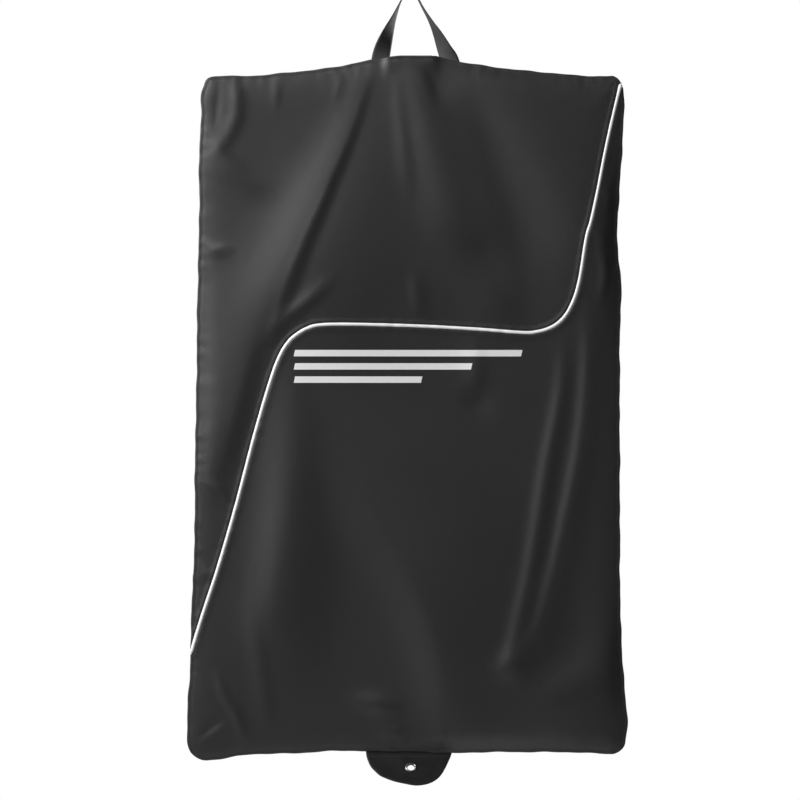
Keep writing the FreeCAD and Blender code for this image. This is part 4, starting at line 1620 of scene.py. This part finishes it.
def plate(name: str, outline: np.ndarray, thick: float, bevel: float,
          hole: np.ndarray | None = None) -> bpy.types.Object:
    """A flat plate with rounded edges, facing +Y and centred on y = 0.

    Args:
        name: The object's name.
        outline: A counter-clockwise loop of x and z in millimetres.
        thick: The plate's thickness.
        bevel: The rounding of its edges.
        hole: A loop that is cut out.

    Returns:
        The plate.
    """
    if hole is None:
        where, faces = triangulated(outline, (len(outline),), Fill.INSIDE)
    else:
        where, faces = triangulated(np.vstack([outline, hole]), (len(outline), len(hole)), Fill.AROUND_HOLES)
        cut = inside(face_middles(where, faces), hole)
        faces = [face for face, gone in zip(faces, cut) if not gone]
    points = np.stack([where[:, 0], np.full(len(where), -thick / 2), where[:, 1]], axis=1)
    made = new_object(name, points, faces)
    shell = bmesh.new()
    shell.from_mesh(made.data)
    bmesh.ops.recalc_face_normals(shell, faces=shell.faces)
    wall = bmesh.ops.extrude_face_region(shell, geom=list(shell.faces))
    far = [item for item in wall["geom"] if isinstance(item, bmesh.types.BMVert)]
    bmesh.ops.translate(shell, verts=far, vec=(0, thick * MM, 0))
    bmesh.ops.recalc_face_normals(shell, faces=shell.faces)
    sharp = [edge for edge in shell.edges if edge.calc_face_angle(0) > 1.0]
    bmesh.ops.bevel(shell, geom=sharp, offset=bevel * MM, segments=2, profile=0.5, affect="EDGES")
    shell.to_mesh(made.data)
    shell.free()
    return smoothed(made)


def rounded(wide: float, tall: float, radius: float, centre: tuple[float, float] = (0.0, 0.0)) -> np.ndarray:
    """A counter-clockwise rounded rectangle.

    Args:
        wide: Its size along x.
        tall: Its size along z.
        radius: Its corner radius.
        centre: Its middle.

    Returns:
        Rows of x and z.
    """
    rows = []
    for k, (sx, sz) in enumerate(((1, 1), (-1, 1), (-1, -1), (1, -1))):
        for step in range(6):
            turn = math.radians(90 * k + 18 * step)
            rows.append((centre[0] + sx * (wide / 2 - radius) + radius * math.cos(turn),
                         centre[1] + sz * (tall / 2 - radius) + radius * math.sin(turn)))
    return np.array(rows)


def moved(made: bpy.types.Object, x: float = 0.0, y: float = 0.0, z: float = 0.0) -> bpy.types.Object:
    """The object with its mesh shifted, in millimetres."""
    made.data.transform(Matrix.Translation((x * MM, y * MM, z * MM)))
    return made


def joined(name: str, parts: list[bpy.types.Object]) -> bpy.types.Object:
    """Several objects as one.

    Args:
        name: The new name.
        parts: The objects, of which the first is kept.

    Returns:
        The joined object.
    """
    shell = bmesh.new()
    for part in parts:
        shell.from_mesh(part.data)
    shell.to_mesh(parts[0].data)
    shell.free()
    for part in parts[1:]:
        bpy.data.objects.remove(part)
    parts[0].name = parts[0].data.name = name
    return smoothed(parts[0])


def rub(made: bpy.types.Object, power: float = 1.0) -> bpy.types.Object:
    """Writes the wear attribute from how sharply each point of the mesh is bent.

    Args:
        made: The object.
        power: How strong the wear is.

    Returns:
        The same object.
    """
    shell = bmesh.new()
    shell.from_mesh(made.data)
    shell.normal_update()
    full = 0.7
    values = [min(1.0, power * max([edge.calc_face_angle(0.0) for edge in point.link_edges] or [0.0]) / full)
              for point in shell.verts]
    shell.free()
    return set_wear(made, values)


@dataclass
class Zip:
    """The back zip: two tapes, two coils, their stops, the slider and its pull.

    A tape's section holds rows of x and y for the right-hand tape. The shield, the flange and the post
    of the slider are outlines of x and z, where 1 is the slider's half width and its height.
    """

    coils: Repeater
    tape_ends: tuple[float, float] = (-106.0, -1065.0)
    tape_rows: int = 260
    tape_section: tuple[tuple[float, float], ...] = (
        (1.0, 5.35), (1.7, 5.15), (5.0, 5.25), (14.4, 5.25), (14.8, 5.6), (14.4, 5.95), (5.0, 5.95), (1.7,
        6.1), (1.0, 5.85))
    coil_ends: tuple[float, float] = (-110.5, -1057.0)
    coil_at: tuple[float, float] = (1.75, 6.5)
    coil_rows: int = 120
    pitch: float = 1.6
    tooth: tuple[float, float] = (4.4, 3.6)
    stop_at: float = 2.1
    stop_wide: float = 2.8
    shield: tuple[tuple[float, float], ...] = (
        (0.0, 0.5), (0.55, 0.49), (0.96, 0.38), (1.0, 0.14), (0.74, -0.22), (0.72, -0.42), (0.45, -0.5),
        (0.0, -0.5))
    shields: tuple[float, float] = (1.2, 1.3)
    flange: tuple[tuple[float, float], ...] = (
        (0.99, 0.34), (0.99, 0.1), (0.74, -0.24), (0.7, -0.44), (0.56, -0.44), (0.6, -0.24), (0.85, 0.1),
        (0.85, 0.34))
    flange_deep: float = 2.1
    post: tuple[tuple[float, float], ...] = ((0, 6.2), (-1.3, 4.6), (-0.5, 1.2), (0.5, 1.2), (1.3, 4.6))
    ribs: int = 6
    rib_pitch: float = 2.4

    def build(self) -> None:
        """Makes the tapes and coils, and dresses the stops, slider and pull."""
        high, low = self.coil_ends
        x, y = self.coil_at
        long, wide = self.tooth
        for side in Side:
            word = side.name.lower()
            self.make_tape(side, f"zip_tape_{word}")
            start = high if side is Side.LEFT else high - self.pitch / 2
            line = np.array([(side.value * x, y, z) for z in np.linspace(start, low, self.coil_rows)])
            coil = self.coils.along(f"zip_coil_{word}", [line], Pitch=self.pitch, Length=long, Width=wide,
                                    Height=long, Loose=0.0)
            place(coil, ZIP_COIL, FOLD, split_nodes(f"zip_coil_{word}"))
        self.make_stops()
        self.make_slider()
        self.make_bridge()
        self.make_pull()

    def make_tape(self, side: Side, name: str) -> None:
        """Makes one woven tape with a corded inner edge.

        Args:
            side: The tape's side.
            name: The piece's name.
        """
        levels, section = np.linspace(*self.tape_ends, self.tape_rows), self.tape_section
        points = np.array([[side.value * x, y + 0.05 * math.sin(z / 13.0), z]
                           for z in levels for x, y in section])
        flat = np.array([[x * MM, z * MM] for z in levels for x, _ in section])
        tape = outward(new_object(name, points, sweep_faces(len(levels), len(section)), flat))
        place(tape, ZIP_TAPE, FOLD, split_nodes(name))

    def make_stops(self) -> None:
        """Makes the two top stops and the bottom stop as crimped metal pieces."""
        for word, body, places in (("top_stops", Body.UPPER, (-self.stop_at, self.stop_at)),
                                   ("bottom_stop", Body.LOWER, (0.0,))):
            low, high = cad_box(f"zip_{word}")
            name, (long, deep, tall), (_, y, z) = f"crimped_{word}", high - low, (low + high) / 2
            wide = self.stop_wide if len(places) > 1 else long
            parts = [moved(plate(name, rounded(wide, tall, 0.9), deep, 0.5), x, y, z) for x in places]
            place(rub(joined(name, parts)), ZIP_METAL, body, (f"zip_{word}",))

    def make_slider(self) -> None:
        """Makes the slider from two shield plates, side flanges and a post."""
        low, high = cad_box("zip_slider_body")
        half, tall, middle = high[0], high[2] - low[2], (high[2] + low[2]) / 2
        right = smooth_path(np.array(self.shield) * (half, tall), 4)
        outline = np.vstack([right, (right * (-1, 1))[::-1][1:-1]])[::-1]
        inner, outer = self.shields
        parts = [moved(plate("slider", outline, outer, 0.45), 0, high[1] - outer / 2, middle),
                 moved(plate("slider", outline, inner, 0.4), 0, low[1] + inner / 2, middle)]
        for side in Side:
            rim = np.array(self.flange) * (side.value * half, tall)
            rim = rim if side is Side.LEFT else rim[::-1]
            parts.append(moved(plate("slider", rim, self.flange_deep, 0.25), 0, high[1] - 1.9, middle))
        post = plate("slider", np.array(self.post), high[1] - low[1] - 1.6, 0.2)
        parts.append(moved(post, 0, (high[1] + low[1]) / 2, middle))
        place(rub(joined("slider", parts), 0.8), ZIP_METAL, Body.SLIDER, ("zip_slider_body",))

    def make_bridge(self) -> None:
        """Makes the bridge that holds the pull on the slider."""
        low, high = cad_box("zip_slider_bridge")
        arch = ((low[1] - 0.3, high[2] - 0.2), (low[1] + 1.0, high[2] - 0.5), (high[1] - 0.75, high[2] - 2.2),
                (high[1] - 0.5, (high[2] + low[2]) / 2), (high[1] - 0.75, low[2] + 2.0),
                (low[1] + 1.4, low[2] + 0.6), (low[1] - 0.3, low[2] + 0.4))
        line = even_steps(smooth_path(np.array([(0, y, z) for y, z in arch]), 6), 0.5)
        section = rounded(2 * high[0], 1.0, 0.42)
        side = np.array((1.0, 0.0, 0.0))
        points = np.vstack([p + u * side + v * n for p, n in zip(line, np.cross(ways(line), side))
                            for u, v in section])
        bridge = outward(new_object("slider_bridge", points, sweep_faces(len(line), len(section))))
        place(rub(bridge), ZIP_METAL, Body.SLIDER, ("zip_slider_bridge",))

    def make_pull(self) -> None:
        """Makes the pull plate with its window, and the ribbed grip moulded on it."""
        low, high = cad_box("zip_pull_plate")
        (wide, deep, tall), (_, y, z) = high - low, (low + high) / 2
        window = rounded(3.9, 9.6, 1.5, (0, high[2] - 7.0))[::-1]
        lever = plate("pull_plate", rounded(wide, tall, 2.6, (0, z)), min(deep, 1.4), 0.35, window)
        place(rub(moved(lever, y=y)), ZIP_METAL, Body.PULL, ("zip_pull_plate",))
        low, high = cad_box("zip_pull_grip")
        (wide, deep, tall), (_, y, z) = high - low, (low + high) / 2
        parts = [moved(plate("grip", rounded(wide, tall, 3.2), deep - 0.5, 0.7), 0, y, z)]
        for k in range(self.ribs):
            rib = plate("rib", rounded(wide * 0.72, 1.2, 0.55), deep, 0.25)
            parts.append(moved(rib, 0, y, z - 7.0 + self.rib_pitch * k))
        place(rub(joined("pull_grip", parts), 0.5), PULL_GRIP, Body.PULL, ("zip_pull_grip",))


# ---- Tab ----


@dataclass
class Tab:
    """A half-round vinyl tab of two layers with an eyelet, sewn into the bottom seam.

    The outline's rows are x and the run down the tab from the seam. The tab starts to bend at the run
    start, and leans forward once the bend is behind it.
    """

    outline: tuple[tuple[float, float], ...] = (
        (-63, -7), (-63, 0), (-61.5, 8), (-57, 21), (-51, 29.5), (-43, 38), (-33, 43.5), (-22, 48), (-8,
        51.5), (5, 54), (17, 53), (28, 49), (37, 42), (43, 34), (48, 24), (54, 9), (57, 0), (57, -7))
    lean: float = 40.0
    hinge: float = -1069.4
    bend: float = 9.0
    layer: float = 0.78
    bore: float = 5.4
    flange: float = 8.7
    start: float = -3.0
    mesh: float = 2.4
    rings: tuple[float, float] = (0.35, 1.1)
    hole_sides: int = 40
    ring_sides: int = 48

    def sheet_point(self, x: np.ndarray, run: np.ndarray, off: np.ndarray) -> np.ndarray:
        """Points on the bent tab.

        Args:
            x: How far along the seam.
            run: How far down the tab.
            off: How far behind its middle.

        Returns:
            Rows of x, y and z.
        """
        lean = math.radians(self.lean)
        bent = run - self.start
        turn = lean * np.clip(bent / self.bend, 0, 1)
        radius, beyond = self.bend / lean, np.maximum(bent - self.bend, 0)
        y = np.where(bent < 0, 0.0, -radius * (1 - np.cos(turn)) - beyond * math.sin(lean))
        z = np.where(bent < 0, -run, -self.start - radius * np.sin(turn) - beyond * math.cos(lean))
        off = off + 1.1 * np.sin((x + 20) / 38.0) * smooth_step(run / 50.0)
        off = off - 0.8 * smooth_step((run - 34) / 20.0)
        return np.stack([x, y + off * np.cos(turn), self.hinge + z - off * np.sin(turn)], axis=1)

    def cut(self, run: float) -> tuple[np.ndarray, np.ndarray, list[tuple[int, ...]]]:
        """The flat tab, cut round the eyelet.

        Args:
            run: How far down the tab the eyelet's middle is.

        Returns:
            The tab's edge, the flat points as rows of x and run, and the faces.
        """
        edge = even_steps(smooth_path(np.array(self.outline, float), 6), 2.0)
        edge = np.vstack([edge, even_steps(np.array([edge[-1], edge[0]]), 2.0)[1:-1]])[::-1]
        turn = np.arange(self.hole_sides) * math.tau / self.hole_sides
        hole = np.stack([np.cos(turn), np.sin(turn)], axis=1) * (self.bore + 0.5) + (0.0, run)
        low, high = edge.min(axis=0), edge.max(axis=0)
        grid = np.array([(x, z) for z in np.arange(low[1], high[1], self.mesh)
                         for x in np.arange(low[0], high[0], self.mesh)])
        clear = np.hypot(grid[:, 0], grid[:, 1] - run) > self.bore + 2.0
        grid = grid[(nearest_on(grid, closed(edge))[0] > self.mesh) & inside(grid, edge) & clear]
        rings = [edge + leftward(edge, looped=True) * depth for depth in self.rings]
        rings = [ring[inside(ring, edge)] for ring in rings]
        flat = np.vstack([edge, hole] + rings + [grid])
        where, faces = triangulated(flat, (len(edge), len(hole)), Fill.INSIDE)
        middles = face_middles(where, faces)
        kept = np.hypot(middles[:, 0], middles[:, 1] - run) > self.bore + 0.45
        faces = [face for face, stays in zip(faces, kept) if stays]
        used = sorted({point for face in faces for point in face})
        number = {point: i for i, point in enumerate(used)}
        return edge, where[used], [tuple(number[point] for point in face) for face in faces]

    def build(self) -> None:
        """Makes the two layers and the eyelet with its washer."""
        low, high = cad_box("eyelet")
        run = (self.hinge - (low[2] + high[2]) / 2) / math.cos(math.radians(self.lean))
        edge, where, faces = self.cut(run)
        rim = nearest_on(where, closed(edge))[0]
        for facing in Facing:
            off = facing.value * (self.layer - bell(rim, (0.45, 0.5)))
            points = self.sheet_point(where[:, 0], where[:, 1], off)
            a, b, c = (points[[face[i] for face in faces]] for i in range(3))
            toward = np.cross(b - a, c - a)[:, 1].sum()
            turned = faces if toward * facing.value > 0 else [face[::-1] for face in faces]
            word = facing.name.lower()
            layer = set_wear(new_object(f"tab_{word}", points, turned, where * MM), bell(rim, (1.0, 0.7)))
            layer = thickened(layer, self.layer * 0.98)
            place(layer, BLACK_VINYL, TAB_ROOT, (f"tab_{word}_layer",))
        self.make_eyelet(run)

    def make_eyelet(self, run: float) -> None:
        """Makes the rolled eyelet and the washer behind it.

        Args:
            run: How far down the tab the eyelet's middle is.
        """
        bore, rim = self.bore, self.flange
        front = ((bore - 0.1, 1.7), (bore, -0.9), (bore + 0.35, -1.75), (bore + 1.1, -2.05),
                 (bore + 2.0, -1.85), (rim - 0.5, -1.25), (rim, -0.85), (rim - 0.1, -0.7), (bore + 1.0, -0.7),
                 (bore + 0.6, 0.4), (bore + 0.6, 1.75), (bore + 0.3, 1.95))
        back = ((bore + 0.7, 0.75), (rim - 0.5, 0.75), (rim - 0.2, 0.95), (rim - 0.6, 1.25),
                (bore + 1.9, 1.5), (bore + 0.7, 1.65))
        turn = np.arange(self.ring_sides) * math.tau / self.ring_sides
        for name, node, rows in (("eyelet_ring", "eyelet", front),
                                 ("eyelet_back_ring", "eyelet_washer", back)):
            line = smooth_path(np.vstack([rows, rows[:1]]), 3)[:-1]
            spots = np.array([(r * math.cos(t), r * math.sin(t), off) for t in turn for r, off in line])
            points = self.sheet_point(spots[:, 0], run + spots[:, 1], spots[:, 2])
            ring = outward(new_object(name, points, sweep_faces(len(turn), len(line), looped=True)))
            set_wear(ring, bell(np.abs(spots[:, 2]) - 2.0, (1.0, 0.3)))
            place(ring, EYELET_METAL, Body.TAB, (node,))


# ---- Stitches ----


@dataclass
class Stitching:
    """Every visible line of thread."""

    front: Drape
    back: BackDrape
    threads: Repeater
    tab: Tab
    stand: float = 0.05
    zip_ends: tuple[float, float] = (-112.0, -1058.0)

    def rim(self, drape: Drape, facing: Facing) -> np.ndarray:
        """The topstitch inside the rim.

        Args:
            drape: The cloth it is on.
            facing: The face of the bag that the cloth is on.

        Returns:
            Rows of x, y and z.
        """
        loop = drape.loop
        line = loop + leftward(loop, looped=True) * drape.edge_stitch
        line = line[nearest_on(line, closed(loop))[0] > drape.edge_stitch * 0.9]
        if drape.piped:
            line = line[nearest_on(line, drape.seam)[0] > 3.5]
        line = np.roll(line, -nearest_row(line, (0.0, -96.0)), axis=0)
        return drape.surface(line, facing, self.stand)

    def build(self) -> None:
        """Makes the threads of the front, the back and the tab."""
        top = self.front.seam - leftward(self.front.seam) * self.front.seam_stitch
        top = top[inside(top, self.front.loop) & (nearest_on(top, closed(self.front.loop))[0] > 4.0)]
        across = np.linspace(-58, 52, 56)
        root = self.tab.sheet_point(across, np.full(56, 5.2), np.full(56, -self.tab.layer - self.stand))
        for name, lines, where in (
                ("stitches_yoke", [self.front.surface(top, Facing.FRONT, self.stand)], FOLD),
                ("stitches_rim_front", [self.rim(self.front, Facing.FRONT)], FOLD),
                ("stitches_rim_back", [self.rim(self.back, Facing.BACK)], FOLD),
                ("stitches_zip", self.zip_lines(), FOLD),
                ("stitches_tab", [root], TAB_ROOT)):
            made = self.threads.along(name, lines, Pitch=3.3, Length=2.7, Width=0.42, Height=0.42, Loose=0.07)
            place(made, BLACK_THREAD, where)

    def zip_lines(self) -> list[np.ndarray]:
        """The two lines of thread on each side of the zip."""
        levels = np.arange(*self.zip_ends, -3.0)
        found = []
        for x in (side.value * (self.back.opening + off) for side in Side for off in self.back.hem_stitches):
            where = np.stack([np.full(len(levels), x), levels], axis=1)
            found.append(self.back.surface(where, Facing.BACK, self.stand))
        return found


# ---- Studio ----


@dataclass
class Studio:
    """Floor, soft lights, white surroundings and the camera, in metres and watts."""

    view_wide: float = 1.12
    lens: float = 200.0
    sensor: float = 36.0
    aim: tuple[float, float, float] = (-0.0154, -0.008, -0.574)
    floor_z: float = -1.75
    floor_radius: float = 1.5
    floor_sides: int = 96
    floor_thick: float = 12.0
    around: float = 0.065
    lit: tuple[float, float, float] = (0.0, 0.0, -0.58)
    lights: tuple[tuple[str, tuple[float, float, float], tuple[float, float], float], ...] = (
        ("key", (-2.01, -1.26, 0.9), (1.4, 1.8), 122.0),
        ("front_fill", (3.0, -3.0, 0.6), (1.6, 2.0), 13.0),
        ("back_key", (2.4, 2.6, 0.6), (1.6, 2.2), 120.0))

    def light(self, name: str, where: tuple[float, float, float], size: tuple[float, float],
              power: float) -> None:
        """A soft rectangular light that faces the bag.

        Args:
            name: Its name.
            where: Its place in metres.
            size: Its width and height in metres.
            power: Its power in watts.
        """
        lamp = bpy.data.lights.new(name, "AREA")
        lamp.shape, lamp.size, lamp.size_y, lamp.energy = "RECTANGLE", size[0], size[1], power
        made = bpy.data.objects.new(name, lamp)
        made.location = where
        made.rotation_euler = (Vector(self.lit) - Vector(where)).to_track_quat("-Z", "Y").to_euler()
        bpy.context.scene.collection.objects.link(made)

    def build(self) -> None:
        """Makes the whole studio."""
        world = bpy.data.worlds.new("studio")
        world.use_nodes = True
        board = Board(world.node_tree)
        seen = board.add("ShaderNodeLightPath").outputs["Is Camera Ray"]
        soft = board.add("ShaderNodeBackground", {0: (1, 1, 1, 1), 1: self.around}).outputs[0]
        white = board.add("ShaderNodeBackground", {0: (1, 1, 1, 1), 1: 1.0}).outputs[0]
        both = board.add("ShaderNodeMixShader", {0: seen, 1: soft, 2: white}).outputs[0]
        board.add("ShaderNodeOutputWorld", {0: both})
        bpy.context.scene.world = world
        bpy.context.scene.view_settings.view_transform = "Standard"
        for name, where, size, power in self.lights:
            self.light(name, where, size, power)
        self.make_camera()
        self.make_floor()

    def make_camera(self) -> None:
        """Makes the camera, far away and level with the bag's middle."""
        camera = bpy.data.cameras.new("camera")
        camera.lens, camera.sensor_width = self.lens, self.sensor
        made = bpy.data.objects.new("camera", camera)
        away = self.view_wide * self.lens / self.sensor
        made.location = (self.aim[0], self.aim[1] - away, self.aim[2])
        made.rotation_euler = (math.pi / 2, 0.0, 0.0)
        bpy.context.scene.collection.objects.link(made)
        bpy.context.scene.camera = made

    def make_floor(self) -> None:
        """Makes the pale round floor, well below the bag."""
        count = self.floor_sides
        turn = np.arange(count) * math.tau / count
        ring = np.stack([np.cos(turn), np.sin(turn)], axis=1) * self.floor_radius / MM
        points = [(x, y, self.floor_z / MM - drop) for drop in (0, self.floor_thick) for x, y in ring]
        faces = [tuple(range(count)), tuple(range(2 * count - 1, count - 1, -1))]
        faces += [(i, i + count, (i + 1) % count + count, (i + 1) % count) for i in range(count)]
        floor = outward(new_object("floor", np.array(points), faces))
        floor.data.polygons.foreach_set("use_smooth", np.zeros(len(faces), bool))
        pale = bpy.data.materials.new("pale_floor")
        pale.use_nodes = True
        board = Board(pale.node_tree)
        solid = board.solid()
        tone = board.mix(board.noise(solid, 6.0), (0.78, 0.78, 0.78, 1), (0.84, 0.84, 0.84, 1))
        shader = board.add("ShaderNodeBsdfPrincipled", {"Base Color": tone, "Roughness": 0.85})
        board.add("ShaderNodeOutputMaterial", {0: shader.outputs[0]})
        floor.data.materials.append(pale)


def main() -> None:
    """Builds the studio and every sub-assembly in order."""
    logging.basicConfig(level=logging.INFO, format="%(message)s")
    Studio().build()
    pattern = Pattern()
    front = Drape(pattern, FRONT_FEATURES)
    back = BackDrape(pattern, BACK_FEATURES, piped=False)
    threads = Repeater("stitch_line", BLACK_THREAD, Shape.STITCH)
    coils = Repeater("coil_line", ZIP_COIL, Shape.TOOTH)
    tab = Tab()
    for part in (Front(front), Back(back), Edges(front, back), Handle(), Zip(coils), tab,
                 Stitching(front, back, threads, tab)):
        LOG.info("building %s", type(part).__name__.lower())
        part.build()


if __name__ == "__main__":
    main()
